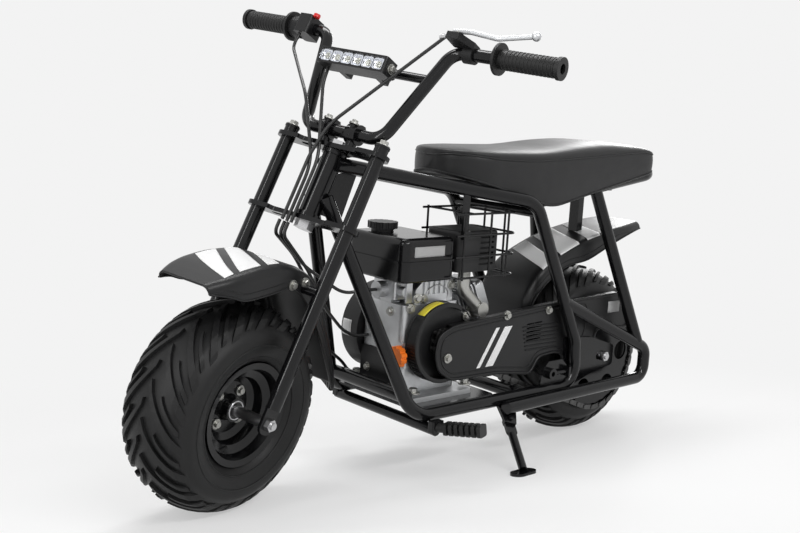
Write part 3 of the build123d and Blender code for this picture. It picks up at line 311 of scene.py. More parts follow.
def piece(name, mesh, body, material, slot=None, smooth=True):
    """Object from a mesh drawn in bike axes, set on its body."""
    mesh.transform(STAND_OF[body])
    mesh.materials.clear()
    mesh.materials.append(material)
    if smooth:
        mesh.shade_smooth()
    made = linked(name, mesh)
    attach(made, body)
    slot = slot or SLOT_OF.get(material)
    return made


def mesh_from(name, points, faces):
    """Mesh from points and faces, with its normals made to face outwards."""
    mesh = bpy.data.meshes.new(name)
    mesh.from_pydata([tuple(p) for p in points], [], faces)
    shape = bmesh.new()
    shape.from_mesh(mesh)
    bmesh.ops.remove_doubles(shape, verts=shape.verts, dist=1e-6)
    bmesh.ops.recalc_face_normals(shape, faces=shape.faces)
    shape.to_mesh(mesh)
    shape.free()
    return mesh


def mesh_of(shape, name):
    """Mesh from a shape that is then freed."""
    mesh = bpy.data.meshes.new(name)
    shape.to_mesh(mesh)
    shape.free()
    return mesh


def ring_faces(count, rows, closed=False):
    """Faces between neighbouring rings of points, and from the last ring to the first where closed."""
    return [[i * count + k, i * count + (k + 1) % count, (i + 1) % rows * count + (k + 1) % count,
             (i + 1) % rows * count + k] for i in range(rows if closed else rows - 1) for k in range(count)]


def lathe(name, outline, axle_x, steps):
    """Closed ring turned about a wheel's axle from an outline of (side, radius)."""
    points = [wheel_point(axle_x, y, r, math.tau * i / steps) for i in range(steps) for y, r in outline]
    return mesh_from(name, points, ring_faces(len(outline), steps, closed=True))


def skin(name, rows):
    """Closed mesh from rings of points, with its two ends filled."""
    count = len(rows[0])
    ends = [list(range(count)), [(len(rows) - 1) * count + k for k in reversed(range(count))]]
    return mesh_from(name, [point for row in rows for point in row], ring_faces(count, len(rows)) + ends)


def slab(name, place, across, along, thickness=0.0005, floor=0.0002):
    """Thin closed sheet laid on a surface. place(u, v, lift) gives a point of it, with u and v from 0 to 1."""
    rows = []
    for i in range(along + 1):
        v = i / along
        top = [place(k / across, v, floor + thickness) for k in range(across + 1)]
        foot = [place(k / across, v, floor - thickness) for k in reversed(range(across + 1))]
        rows.append(top + foot)
    return skin(name, rows)


def patch(name, place, across, along, material, smooth=True):
    """Thin print or blank plate on the frame."""
    piece(name, slab(name, place, across, along), "frame", material, smooth=smooth)


def round_patch(radius, sides, angles):
    """Place function for a patch on a cylinder about the crank, from its side span and angles in degrees."""
    def place(u, v, lift):
        angle = math.radians(between(*angles, v))
        return Vector((CRANK_X + (radius + lift) * math.sin(angle), between(*sides, u),
                       CRANK_Z + (radius + lift) * math.cos(angle)))
    return place


def flat_patch(corners):
    """Place function for a four-cornered patch that faces left."""
    a, b, c, d = (Vector(corner) for corner in corners)
    return lambda u, v, lift: a.lerp(b, u).lerp(d.lerp(c, u), v) + Vector(LEFT) * lift


def line_object(name, points, closed):
    """Object with a line through points."""
    curve = bpy.data.curves.new(name, "CURVE")
    curve.dimensions = "3D"
    spline = curve.splines.new("POLY")
    spline.points.add(len(points) - 1)
    for spot, point in zip(spline.points, points):
        spot.co = (*point, 1)
    spline.use_cyclic_u = closed
    return linked(name + "_line", curve)


def rod(name, points, radius, body, material, slot=None, closed=False, sides=2):
    """Round bar or bead along points given in bike axes."""
    holder = line_object(name, points, closed)
    holder.data.bevel_depth = radius
    holder.data.bevel_resolution = sides
    holder.data.use_fill_caps = not closed
    bpy.context.view_layer.update()
    mesh = bpy.data.meshes.new_from_object(holder.evaluated_get(bpy.context.evaluated_depsgraph_get()))
    bpy.data.objects.remove(holder)
    return piece(name, mesh, body, material, slot)


def rounded(corners, radius, steps=6):
    """Closed line through corners, each turned in an arc of about the given radius."""
    line = []
    for i, corner in enumerate(corners):
        back, ahead = corners[i - 1] - corner, corners[(i + 1) % len(corners)] - corner
        reach = min(radius, back.length * 0.45, ahead.length * 0.45)
        start, end = corner + back.normalized() * reach, corner + ahead.normalized() * reach
        shares = [k / steps for k in range(steps + 1)]
        line += [start.lerp(corner, t).lerp(corner.lerp(end, t), t) for t in shares]
    return line


def bolt_mesh(name, across, height):
    """Hexagon bolt head on a washer, standing on its own origin along Z."""
    shape = bmesh.new()
    washer, corner = across * 0.8 + 0.001, across * 0.577
    bmesh.ops.create_cone(shape, cap_ends=True, segments=20, radius1=washer, radius2=washer, depth=0.003)
    head = bmesh.ops.create_cone(shape, cap_ends=True, segments=6, radius1=corner, radius2=corner,
                                 depth=height)["verts"]
    bmesh.ops.translate(shape, verts=head, vec=(0, 0, 0.0015 + height / 2))
    edges = [edge for edge in shape.edges if edge.calc_length() < across]
    bmesh.ops.bevel(shape, geom=edges, offset=across * 0.035, segments=2, affect="EDGES", profile=0.6)
    return mesh_of(shape, name)


# Copies by geometry trees
def tree_with(name, inputs):
    """Geometry tree with a geometry input, the named inputs, a material input and one output."""
    tree = bpy.data.node_groups.new(name, "GeometryNodeTree")
    for label, kind in (("Geometry", "Geometry"), *inputs, ("Material", "Material")):
        tree.interface.new_socket(label, in_out="INPUT", socket_type="NodeSocket" + kind)
    tree.interface.new_socket("Geometry", in_out="OUTPUT", socket_type="NodeSocketGeometry")
    return tree, tree.nodes.new("NodeGroupInput"), tree.nodes.new("NodeGroupOutput")


def finish_tree(tree, start, end, copies):
    """Make the copies real, give them the material and put them out."""
    real = add(tree, "GeometryNodeRealizeInstances")
    finish = add(tree, "GeometryNodeSetMaterial")
    wire(tree, (copies, "Instances", real, "Geometry"), (real, "Geometry", finish, "Geometry"),
         (start, "Material", finish, "Material"), (finish, "Geometry", end, "Geometry"))
    return tree


def ring_tree():
    """Copies of the base mesh turned about the Y direction through a centre."""
    tree, start, end = tree_with("copies_round_axle", (
        ("Centre", "Vector"), ("Count", "Int"), ("First Turn", "Float"), ("Sweep", "Float")))
    spots = add(tree, "GeometryNodeMeshLine", {"Offset": (0, 0, 0)}, mode="OFFSET")
    index = add(tree, "GeometryNodeInputIndex")
    share = add(tree, "ShaderNodeMath", operation="DIVIDE")
    angle = add(tree, "ShaderNodeMath", operation="MULTIPLY_ADD")
    turn = add(tree, "ShaderNodeCombineXYZ")
    back = add(tree, "ShaderNodeVectorMath", {"Scale": -1}, operation="SCALE")
    centred = add(tree, "GeometryNodeTransform")
    copies = add(tree, "GeometryNodeInstanceOnPoints")
    wire(tree, (start, "Count", spots, "Count"), (start, "Centre", spots, "Start Location"),
         (index, 0, share, 0), (start, "Count", share, 1), (share, 0, angle, 0), (start, "Sweep", angle, 1),
         (start, "First Turn", angle, 2), (angle, 0, turn, "Y"), (start, "Centre", back, 0),
         (start, "Geometry", centred, "Geometry"), (back, 0, centred, "Translation"),
         (spots, "Mesh", copies, "Points"), (centred, "Geometry", copies, "Instance"),
         (turn, 0, copies, "Rotation"))
    return finish_tree(tree, start, end, copies)


def path_tree():
    """Copies of the base mesh set along a line of points, each turned to the line."""
    tree, start, end = tree_with("copies_on_path", (("Path", "Object"), ("Count", "Int")))
    path = add(tree, "GeometryNodeObjectInfo", transform_space="ORIGINAL")
    spots = add(tree, "GeometryNodeCurveToPoints", mode="COUNT")
    copies = add(tree, "GeometryNodeInstanceOnPoints")
    aim = add(tree, "FunctionNodeAlignRotationToVector", axis="X")
    wire(tree, (start, "Path", path, "Object"), (path, "Geometry", spots, "Curve"),
         (start, "Count", spots, "Count"), (spots, "Points", copies, "Points"),
         (start, "Geometry", copies, "Instance"), (spots, "Tangent", aim, "Vector"),
         (aim, "Rotation", copies, "Rotation"))
    return finish_tree(tree, start, end, copies)


def spots_tree():
    """Copies of the base mesh at the points of another mesh, each standing along that point's aim."""
    tree, start, end = tree_with("copies_at_spots", (("Spots", "Object"),))
    spots = add(tree, "GeometryNodeObjectInfo", transform_space="ORIGINAL")
    aim = add(tree, "GeometryNodeInputNamedAttribute", {"Name": "aim"}, data_type="FLOAT_VECTOR")
    turn = add(tree, "FunctionNodeAlignRotationToVector", axis="Z")
    copies = add(tree, "GeometryNodeInstanceOnPoints")
    wire(tree, (start, "Spots", spots, "Object"), (aim, "Attribute", turn, "Vector"),
         (spots, "Geometry", copies, "Points"), (start, "Geometry", copies, "Instance"),
         (turn, "Rotation", copies, "Rotation"))
    return finish_tree(tree, start, end, copies)


RING, PATH, SPOTS = ring_tree(), path_tree(), spots_tree()


def made_by(tree, name, base, values):
    """Plain mesh that a geometry tree gives on a base mesh."""
    holder = linked(name + "_base", base)
    modifier = holder.modifiers.new("shape", "NODES")
    modifier.node_group = tree
    for item in tree.interface.items_tree:
        if item.in_out == "INPUT" and item.name in values:
            modifier[item.identifier] = values[item.name]
    mesh = bpy.data.meshes.new_from_object(holder.evaluated_get(bpy.context.evaluated_depsgraph_get()))
    mesh.name = name
    bpy.data.objects.remove(holder)
    return mesh


def set_at(name, base, spots, body, material):
    """Copies of a small mesh at (point, direction) pairs given in bike axes."""
    marks = bpy.data.meshes.new(name + "_spots")
    marks.from_pydata([tuple(point) for point, aim in spots], [], [])
    aims = marks.attributes.new("aim", "FLOAT_VECTOR", "POINT")
    for item, (point, aim) in zip(aims.data, spots):
        item.vector = Vector(aim).normalized()
    holder = linked(name + "_spots", marks)
    mesh = made_by(SPOTS, name, base, {"Spots": holder, "Material": material})
    bpy.data.objects.remove(holder)
    return piece(name, mesh, body, material, smooth=False)


# Tyres: carcass, rings on the walls and directional lugs
def arc(start, through, end, steps):
    """Points on the circle through three points in a plane."""
    (ax, ay), (bx, by), (cx, cy) = start, through, end
    d = 2 * (ax * (by - cy) + bx * (cy - ay) + cx * (ay - by))
    ux = ((ax**2 + ay**2) * (by - cy) + (bx**2 + by**2) * (cy - ay) + (cx**2 + cy**2) * (ay - by)) / d
    uy = ((ax**2 + ay**2) * (cx - bx) + (bx**2 + by**2) * (ax - cx) + (cx**2 + cy**2) * (bx - ax)) / d
    radius = math.hypot(ax - ux, ay - uy)
    first, mid, last = (math.atan2(y - uy, x - ux) for x, y in (start, through, end))
    turn = (last - first) % math.tau
    if (mid - first) % math.tau > turn:
        turn -= math.tau
    angles = [first + turn * i / steps for i in range(steps + 1)]
    return [(ux + radius * math.cos(angle), uy + radius * math.sin(angle)) for angle in angles]


def side_profile(steps=12):
    """Half of the tyre's outer line, from the middle of the tread to the bead."""
    half_way = TYRE_RADIUS - CROWN_RADIUS + math.sqrt(CROWN_RADIUS**2 - TREAD_HALF**2 / 4)
    crown = arc((0, TYRE_RADIUS), (TREAD_HALF / 2, half_way), (TREAD_HALF, SHOULDER_RADIUS), steps)
    wall = arc((TREAD_HALF, SHOULDER_RADIUS), SIDE_BULGE, BEAD, steps + 6)
    return crown + wall[1:]


def along_profile(line, distance):
    """Point and outward normal at a distance along a half profile."""
    rest = distance
    for (y0, r0), (y1, r1) in zip(line, line[1:]):
        run = math.hypot(y1 - y0, r1 - r0)
        if rest <= run:
            share = rest / run
            return (between(y0, y1, share), between(r0, r1, share)), ((r0 - r1) / run, (y1 - y0) / run)
        rest -= run
    return line[-1], (1.0, 0.0)


def lug_strip(line, axle_x, side, start, stop, sweep, lead, half_widths, depth):
    """One lug that follows the tyre's surface from near the middle out and round the shoulder."""
    points = []
    for i in range(LUG_SECTIONS):
        share = i / (LUG_SECTIONS - 1)
        (y, r), (ny, nr) = along_profile(line, between(start, stop, share))
        centre = lead + sweep * share**LUG_CURVE
        half = between(*half_widths, share)
        height = depth * (1.0 if share < LUG_TAPER else 1.0 - 2.6 * (share - LUG_TAPER))
        for offset, lift in ((-half - 0.0012, -depth - 0.001), (half + 0.0012, -depth - 0.001),
                             (half, height - depth), (-half, height - depth)):
            points.append(wheel_point(axle_x, side * (y + ny * lift), r + nr * lift, centre + offset / r))
    ends = [[0, 1, 2, 3], [4 * LUG_SECTIONS - 4 + k for k in (3, 2, 1, 0)]]
    return points, ring_faces(4, LUG_SECTIONS) + ends


def tyre(body, node, axle_x, first_turn):
    """Carcass with lowered tread, rings on its walls, and one pair of lugs repeated round it."""
    line = side_profile()
    half = []
    distance = 0.0
    previous = line[0]
    for y, r in line:
        distance += math.hypot(y - previous[0], r - previous[1])
        previous = (y, r)
        ny, nr = along_profile(line, distance)[1]
        drop = LUG_DEPTH * clamp((TREAD_END - distance) / TREAD_FADE)
        half.append((y - ny * drop, r - nr * drop))
    half += [(BEAD[0] - 0.004, BEAD[1] - 0.004), (BEAD[0] - 0.010, RIM_SEAT)]
    outline = half + [(-y, r) for y, r in reversed(half)][:-1]
    made = piece(node + "_carcass", lathe(node + "_carcass", outline, axle_x, 144), body, rubber)
    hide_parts(node)
    for radius in WALL_RINGS:
        y, r = min(side_profile(24)[24:], key=lambda spot: abs(spot[1] - radius))
        for side, label in SIDES:
            bead = wheel_circle(axle_x, side * (y - 0.0002), r, 96)
            rod(f"{node}_ring_{label}_{round(radius * 1000)}", bead, 0.0014, body, rubber, closed=True)
    points, faces = [], []
    for side, lead in ((1, 0.0), (-1, math.tau / LUG_PAIRS / 2)):
        for start, stop, sweep, lag, half_widths, share in LUGS:
            lug, lug_faces = lug_strip(line, axle_x, side, start, stop, sweep, lead + lag, half_widths,
                                       LUG_DEPTH * share)
            faces += [[len(points) + k for k in face] for face in lug_faces]
            points += lug
    pair = mesh_from(node + "_lug_pair", points, faces)
    ring = made_by(RING, node + "_lugs", pair, {
        "Centre": (axle_x, 0, TYRE_RADIUS), "Count": LUG_PAIRS, "First Turn": first_turn, "Sweep": math.tau,
        "Material": rubber})
    piece(node + "_lugs", ring, body, rubber, smooth=False)


tyre("front_wheel", "front_tyre", WHEELBASE, 0.1)
tyre("rear_wheel", "rear_tyre", 0.0, 0.25)

# Bearing rings and hub bolts on the front wheel, and a valve on each
hub_bolt = bolt_mesh("small_hub_bolt", 0.010, 0.005)
for side, label in SIDES:
    bearing = wheel_circle(WHEELBASE, side * 0.0312, 0.0155, 40)
    rod(f"front_wheel_bearing_{label}", bearing, BEAD_RADIUS, "front_wheel", bright_steel, closed=True,
        sides=3)
    spots = [(wheel_point(WHEELBASE, side * 0.0135, 0.034, math.tau * (k + 0.5) / 4), (0, side, 0))
             for k in range(4)]
    set_at(f"front_wheel_hub_bolts_{label}", hub_bolt, spots, "front_wheel", zinc_steel)
for body, axle_x in (("front_wheel", WHEELBASE), ("rear_wheel", 0.0)):
    stem = [wheel_point(axle_x, side, radius, 2.4) for side, radius in ((0.050, 0.069), (0.057, 0.060))]
    rod(f"{body}_valve", stem, 0.0035, body, rubber, sides=3)

# Seat: crowned padded cover with a crease along each side. Stations are x, bottom, crease and crown
SEAT_STATIONS = ((436, 559, 590, 600), (432, 556, 593, 604), (420, 552, 596, 606), (392, 545, 593, 607),
                 (340, 531, 588, 608), (285, 516, 586, 608), (230, 502, 586, 608), (190, 495, 588, 610),
                 (145, 504, 590, 615), (100, 514, 593, 620), (20, 531, 598, 624), (-68, 549, 604, 619),
                 (-112, 558, 604, 613), (-131, 563, 599, 606), (-140, 572, 590, 597))
SEAT_FRONT, SEAT_REAR, SEAT_HALF = 436.0, -140.0, 101.0
SEAT_NOSE, SEAT_WAIST, SEAT_TAIL = 340, 230, -68
COVER_FRONT, COVER_REAR, COVER_STEPS = 422, -112, 84
RECESS_FRONT, RECESS_REAR, RECESS_DEPTH, RECESS_EDGE = 232, -118, 30, 20


def seat_level(x, column):
    """Bottom, crease or crown height of the seat at x, smoothed over its stations."""
    reach = max(0.0, min(24.0, SEAT_FRONT - x, x - SEAT_REAR))
    total = 0.0
    for step in range(-3, 4):
        here = min(SEAT_FRONT, max(SEAT_REAR, x + reach * step / 3))
        for (x0, *first), (x1, *second) in zip(SEAT_STATIONS, SEAT_STATIONS[1:]):
            if x1 <= here <= x0:
                total += first[column] + (second[column] - first[column]) * (x0 - here) / (x0 - x1)
                break
    return total / 7


def seat_half(x):
    """Half width of the seat at x: a rounded nose and a squarer back."""
    if x > SEAT_NOSE:
        turn = (x - SEAT_NOSE) / (SEAT_FRONT - SEAT_NOSE)
        return 6 + (SEAT_HALF - 10) * math.sqrt(max(0.0, 1 - turn ** 2))
    if x > SEAT_WAIST:
        return SEAT_HALF - 4 * ((x - SEAT_WAIST) / (SEAT_NOSE - SEAT_WAIST)) ** 2
    if x < SEAT_TAIL:
        turn = (SEAT_TAIL - x) / (SEAT_TAIL - SEAT_REAR)
        return 6 + (SEAT_HALF - 6) * math.sqrt(max(0.0, 1 - turn ** 7))
    return SEAT_HALF


def seat_section(x):
    """Half of the seat's cross section, from the middle of its underside to the middle of its top."""
    bottom, crease, crown = (seat_level(x, column) for column in range(3))
    half = seat_half(x)
    share = half / SEAT_HALF
    lift = (clamp((RECESS_FRONT - x) / RECESS_EDGE) * clamp((x - RECESS_REAR) / RECESS_EDGE)
            * (RECESS_DEPTH - 0.07 * (190 - min(x, 190))))
    line = [(0, bottom), (30 * share, bottom), (63 * share, bottom), (67 * share, bottom + lift),
            (94.5 * share, bottom + lift), (96 * share, bottom + 1.5), (half - 3.5 * share, bottom),
            (half - 1.2 * share, bottom + 1), (half - 0.2, bottom + 4)]
    rise = crease - bottom
    for t in (step / 10 for step in range(1, 10)):
        puff = 1.6 * math.sin(math.pi * t) - 0.4
        line.append((half + puff * share, bottom + 4 + (rise - 7) * t))
    line += [(half - 0.8, crease - 2.4), (half - 2.4, crease), (half - 0.6, crease + 1.6)]
    top = crown - crease - 1.6
    for angle in (math.pi / 2 * step / 14 for step in range(1, 15)):
        line.append(((half - 0.6) * math.cos(angle) ** 0.62, crease + 1.6 + top * math.sin(angle) ** 0.72))
    return line


def wrinkle(x, y, z):
    """Height of small soft folds, flatter along the seat than up its sides."""
    spot = Vector((x / 46, y / 60, z / 16))
    return noise.noise(spot) * 0.9 + noise.noise(spot * 2.3) * 0.35


def seat_cover():
    """Seat cover as one closed padded form, with piping at its crease and a welt round its foot."""
    rows, crease_line, welt_line = [], [], []
    stations = [SEAT_FRONT - 0.5 - 6 * (1 - math.cos(math.pi / 2 * k / 8)) * 2 for k in range(8)]
    stations += [COVER_FRONT - (COVER_FRONT - COVER_REAR) * k / COVER_STEPS for k in range(COVER_STEPS + 1)]
    stations += [COVER_REAR - (COVER_REAR - SEAT_REAR) * math.sin(math.pi / 2 * k / 9) for k in range(1, 10)]
    for x in stations:
        bottom, crease = seat_level(x, 0), seat_level(x, 1)
        half_line = seat_section(x)
        row = []
        for y, z in half_line + [(-y, z) for y, z in reversed(half_line[1:-1])]:
            below = z < crease - 3
            move = wrinkle(x, y, z) * (0.0 if z < bottom + 3 else (1.0 if below else 0.35))
            row.append(Vector((x, y + math.copysign(move, y) if abs(y) > 20 else y,
                               z + (0 if below else move * 0.5))) / 1000)
        rows.append(row)
        crease_line.append((x, seat_half(x) - 0.9, crease))
        welt_line.append((x, seat_half(x) + 0.2, bottom + 3.5))
    made = piece("seat_cover", skin("seat_cover", rows), "frame", vinyl)
    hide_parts("seat")
    for name, line, radius in (("seat_piping", crease_line, BEAD_RADIUS), ("seat_welt", welt_line, 0.0018)):
        loop = [Vector(p) / 1000 for p in line] + [Vector((x, -y, z)) / 1000 for x, y, z in reversed(line)]
        rod(name, loop, radius, "frame", vinyl, closed=True)


seat_cover()

# Fenders: smooth shells, plain slanted bars, an edge bead and a crease. Stations are x, z, half width, skirt
FRONT_FENDER = ((984, 408, 56, 15), (956, 416, 66, 28), (922, 423, 70, 44), (865, 428, 70, 46),
                (800, 421, 70, 36), (746, 386, 70, 38), (704, 312, 70, 30), (672, 240, 69, 24),
                (656, 190, 68, 17))
REAR_FENDER = ((207, 236, 66, 16), (216, 300, 68, 22), (194, 344, 70, 27), (160, 375, 70, 31),
               (110, 399, 70, 32), (44, 421, 70, 43), (-36, 437, 70, 30), (-100, 446, 68, 19),
               (-146, 451, 60, 15))
SHOULDER = 14.0
FENDER_WALL = 3.0
SHELL_STEPS = 9
SKIRT_STEPS = 6


def station_at(stations, t):
    """Position along the crown, half width and skirt depth at t, smoothed through the stations."""
    index = max(0, min(int(t), len(stations) - 2))
    f = t - index
    a, b, c, d = (stations[max(0, min(index + k, len(stations) - 1))] for k in (-1, 0, 1, 2))
    return [0.5 * (2 * q + (r - p) * f + (2 * p - 5 * q + 4 * r - w) * f**2 + (3 * q - p - 3 * r + w) * f**3)
            for p, q, r, w in zip(a, b, c, d)]


def fender_edge(half, depth):
    """Distance over the shell from its middle line to the lower edge of its skirt."""
    return half - SHOULDER + SHOULDER * math.pi / 2 + max(0.0, depth - SHOULDER)


def shell_point(stations, t, across, lift=0.0):
    """Point on a fender's outer face: t counts its stations, across is the distance from its middle line."""
    x, z, half, depth = station_at(stations, t)
    before = station_at(stations, max(t - 0.2, 0))
    after = station_at(stations, min(t + 0.2, len(stations) - 1))
    along = Vector((after[0] - before[0], 0, after[1] - before[1])).normalized()
    down = Vector((-along.z, 0, along.x))
    distance, bend = abs(across), SHOULDER * math.pi / 2
    if distance <= half - SHOULDER:
        side, drop = distance, -lift
    elif distance <= half - SHOULDER + bend:
        angle = (distance - half + SHOULDER) / SHOULDER
        side = half - SHOULDER + (SHOULDER + lift) * math.sin(angle)
        drop = SHOULDER - (SHOULDER + lift) * math.cos(angle)
    else:
        side, drop = half + lift, min(depth, SHOULDER + distance - half + SHOULDER - bend)
    return (Vector((x, math.copysign(side, across), z)) + down * drop) / 1000


def fender_shell(name, stations, body):
    """Smooth fender through the stations that the CAD solid uses, with its wall."""
    rows = []
    for t in (k / SHELL_STEPS for k in range((len(stations) - 1) * SHELL_STEPS + 1)):
        half, depth = station_at(stations, t)[2:]
        edge = fender_edge(half, depth)
        turn = (half - SHOULDER) / edge
        shares = [-1, -0.97] + [-turn - (0.97 - turn) * n / 8 for n in range(8, 0, -1)]
        shares += [-turn + 2 * turn * n / 12 for n in range(13)]
        shares += [-share for share in reversed(shares[:10])]
        outer = [shell_point(stations, t, edge * share) for share in shares]
        inner = [shell_point(stations, t, edge * share, -FENDER_WALL) for share in reversed(shares)]
        rows.append(outer + inner)
    made = piece(name + "_shell", skin(name + "_shell", rows), body, satin_black)
    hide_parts(name)


def skirt_line(stations, side, up):
    """Line along a fender's skirt, a distance above its lower edge."""
    line = []
    for t in (k / SKIRT_STEPS for k in range((len(stations) - 1) * SKIRT_STEPS + 1)):
        half, depth = station_at(stations, t)[2:]
        line.append(shell_point(stations, t, side * fender_edge(half, depth - up), 0.2))
    return line


def fender_bars(name, stations, body, bars):
    """Slanted bars painted on a fender, each from its four corners as (t, across)."""
    for number, (a, b, c, d) in enumerate(bars):
        def place(u, v, lift, a=a, b=b, c=c, d=d):
            near = [between(p, q, u) for p, q in zip(a, b)]
            far = [between(p, q, u) for p, q in zip(d, c)]
            t, across = (between(p, q, v) for p, q in zip(near, far))
            return shell_point(stations, t, across, lift * 1000)
        mesh = slab(f"{name}_bar_{number}", place, 16, 36, thickness=0.0003, floor=0.0004)
        piece(f"{name}_bar_{number}", mesh, body, white_print)


fender_bars("front_fender", FRONT_FENDER, "fork", (
    ((1.15, 55), (1.75, 55), (3.0, -55), (2.25, -55)), ((2.05, 55), (2.85, 55), (3.8, -55), (3.3, -55)),
    ((3.1, 55), (3.5, 55), (4.4, -50), (4.05, -50))))
fender_bars("rear_fender", REAR_FENDER, "frame", (
    ((2.75, 66), (3.45, 66), (4.3, -54), (3.6, -54)), ((3.85, 66), (4.75, 66), (5.4, -54), (4.65, -54)),
    ((5.1, 66), (5.6, 66), (6.2, -54), (5.8, -54))))
for name, stations, body in (("front_fender", FRONT_FENDER, "fork"), ("rear_fender", REAR_FENDER, "frame")):
    fender_shell(name, stations, body)
    for side, label in SIDES:
        rod(f"{name}_edge_{label}", skirt_line(stations, side, 1.2), BEAD_RADIUS, body, satin_black)
        rod(f"{name}_crease_{label}", skirt_line(stations, side, 12.0), 0.0009, body, satin_black)

# Chain cover: raised border, inner step, two plain slanted bars and ribs. Corners are x and z in mm
COVER_FACE = 0.097
COVER_CORNERS = ((482, 236), (474, 270), (440, 284), (172, 302), (-45, 308), (-80, 300), (-80, 232), (24, 238),
                 (50, 150), (118, 152), (128, 196), (152, 204), (200, 200), (222, 168), (319, 182), (440, 184),
                 (474, 206))
INNER_CORNERS = ((470, 238), (464, 262), (438, 274), (172, 292), (60, 295), (60, 246), (86, 176), (114, 176),
                 (124, 206), (154, 214), (206, 210), (226, 180), (318, 192), (438, 194), (464, 212))
for name, corners, lift, turn, radius, sides in (
        ("chain_cover_border", COVER_CORNERS, 0.0004, 0.012, 0.0030, 3),
        ("chain_cover_inner_step", INNER_CORNERS, 0.0002, 0.014, 0.0013, 2)):
    loop = rounded([Vector((x / 1000, COVER_FACE + lift, z / 1000)) for x, z in corners], turn)
    rod(name, loop, radius, "frame", satin_black, closed=True, sides=sides)
for number, (top, foot) in enumerate((((0.303, 0.283), (0.330, 0.350)), ((0.327, 0.318), (0.365, 0.374)))):
    corners = [(x, COVER_FACE, 0.270) for x in top] + [(x, COVER_FACE, 0.197) for x in foot]
    patch(f"chain_cover_bar_{number}", flat_patch(corners), 4, 8, white_print, smooth=False)
for row in range(7):
    z = 0.2635 - row * 0.0078
    ridge = [Vector((0.252 - row * 0.002, COVER_FACE, z)), Vector((0.205, COVER_FACE + 0.0006, z - 0.0006)),
             Vector((0.150, COVER_FACE, z - 0.001))]
    rod(f"chain_cover_rib_{row}", ridge, BEAD_RADIUS, "frame", satin_black)

# Clutch guard: ribs across its rim, a blank yellow patch and two edge beads
rib_section = [(-0.0012, 0.0716), (-0.0008, 0.0745), (0.0008, 0.0745), (0.0012, 0.0716)]
rib = mesh_from("guard_rib",
                [Vector((CRANK_X + s, y, CRANK_Z + r)) for y in (0.067, 0.091) for s, r in rib_section],
                [[0, 1, 2, 3], [7, 6, 5, 4], [0, 4, 5, 1], [1, 5, 6, 2], [2, 6, 7, 3], [3, 7, 4, 0]])
ribs = made_by(RING, "guard_ribs", rib, {
    "Centre": (CRANK_X, 0, CRANK_Z), "Count": 14, "First Turn": math.radians(92), "Sweep": math.radians(70),
    "Material": satin_black})
piece("guard_ribs", ribs, "frame", satin_black, smooth=False)
patch("guard_label", round_patch(0.073, (0.068, 0.086), (2, 43)), 3, 20, yellow_print)
for name, y in (("guard_rim_outer", 0.0925), ("guard_rim_inner", 0.0665)):
    loop = [Vector((CRANK_X + 0.0732 * math.sin(a), y, CRANK_Z + 0.0732 * math.cos(a)))
            for a in (math.radians(-55 + 5.2 * k) for k in range(56))]
    rod(name, loop, BEAD_RADIUS, "frame", satin_black)


def upright_plate(ends, y, heights):
    """Place function for an upright plate that faces left, from its two ends and its two heights."""
    (x0, x1), (z0, z1) = ends, heights
    return flat_patch(((x0, y, z0), (x1, y, z0), (x1, y, z1), (x0, y, z1)))


# Blank plates, a black band on the case's lower front that is partly painted shade, and fastenings
patch("tank_label", upright_plate((0.531, 0.448), 0.0785, (0.432, 0.413)), 8, 4, grey_print)
patch("starter_label", round_patch(0.0862, (-0.100, -0.076), (78, 98)), 4, 8, white_print)
patch("frame_plate", upright_plate((-0.010, -0.048), 0.0974, (0.292, 0.268)), 4, 4, grey_print)
# Black band on the lower front of the case: painted shade where the down tube shadows the case front, laid
# over the case's own dark lower part
band = rounded([Vector((0.5282, y, z)) for y, z in
                ((-0.056, 0.158), (0.054, 0.158), (0.054, 0.206), (0.030, 0.232), (-0.056, 0.232))], 0.010)
painted_shade_skin = skin("lower_case", [[p + Vector((shift, 0, 0)) for p in band] for shift in (-0.001, 0.0018)])
piece("lower_case", painted_shade_skin, "frame", satin_black, smooth=False)
small_bolt = bolt_mesh("small_bolt", 0.010, 0.005)
large_bolt = bolt_mesh("large_bolt", 0.014, 0.007)
engine_spots = [((0.392, 0.0785, 0.296), LEFT), ((0.520, 0.0645, 0.318), LEFT), ((0.506, 0.0645, 0.336), LEFT),
                ((0.5285, 0.020, 0.306), AHEAD), ((0.5285, -0.036, 0.306), AHEAD),
                ((0.5285, -0.036, 0.190), AHEAD), ((0.5285, 0.036, 0.190), AHEAD),
                ((0.410, 0.0525, 0.352), LEFT), ((0.478, 0.0525, 0.330), LEFT)]
plate_spots = [((x, y, 0.1665), UP) for x in (0.387, 0.517) for y in (-0.081, 0.081)]
cover_spots = [((x, COVER_FACE + 0.001, z), LEFT)
               for x, z in ((0.452, 0.226), (0.180, 0.292), (-0.066, 0.290), (0.300, 0.292))]
for name, bolt, spots in (("engine_bolts", small_bolt, engine_spots), ("plate_bolts", large_bolt, plate_spots),
                          ("cover_bolts", small_bolt, cover_spots)):
    set_at(name, bolt, spots, "frame", zinc_steel)
seam = [Vector((CRANK_X - 0.010 + 0.028 * math.cos(a), 0.0525, 0.334 + 0.020 * math.sin(a)))
        for a in (math.tau * k / 28 for k in range(28))]
rod("shroud_seam", seam, 0.0012, "frame", bright_steel, "cast_alloy", closed=True)

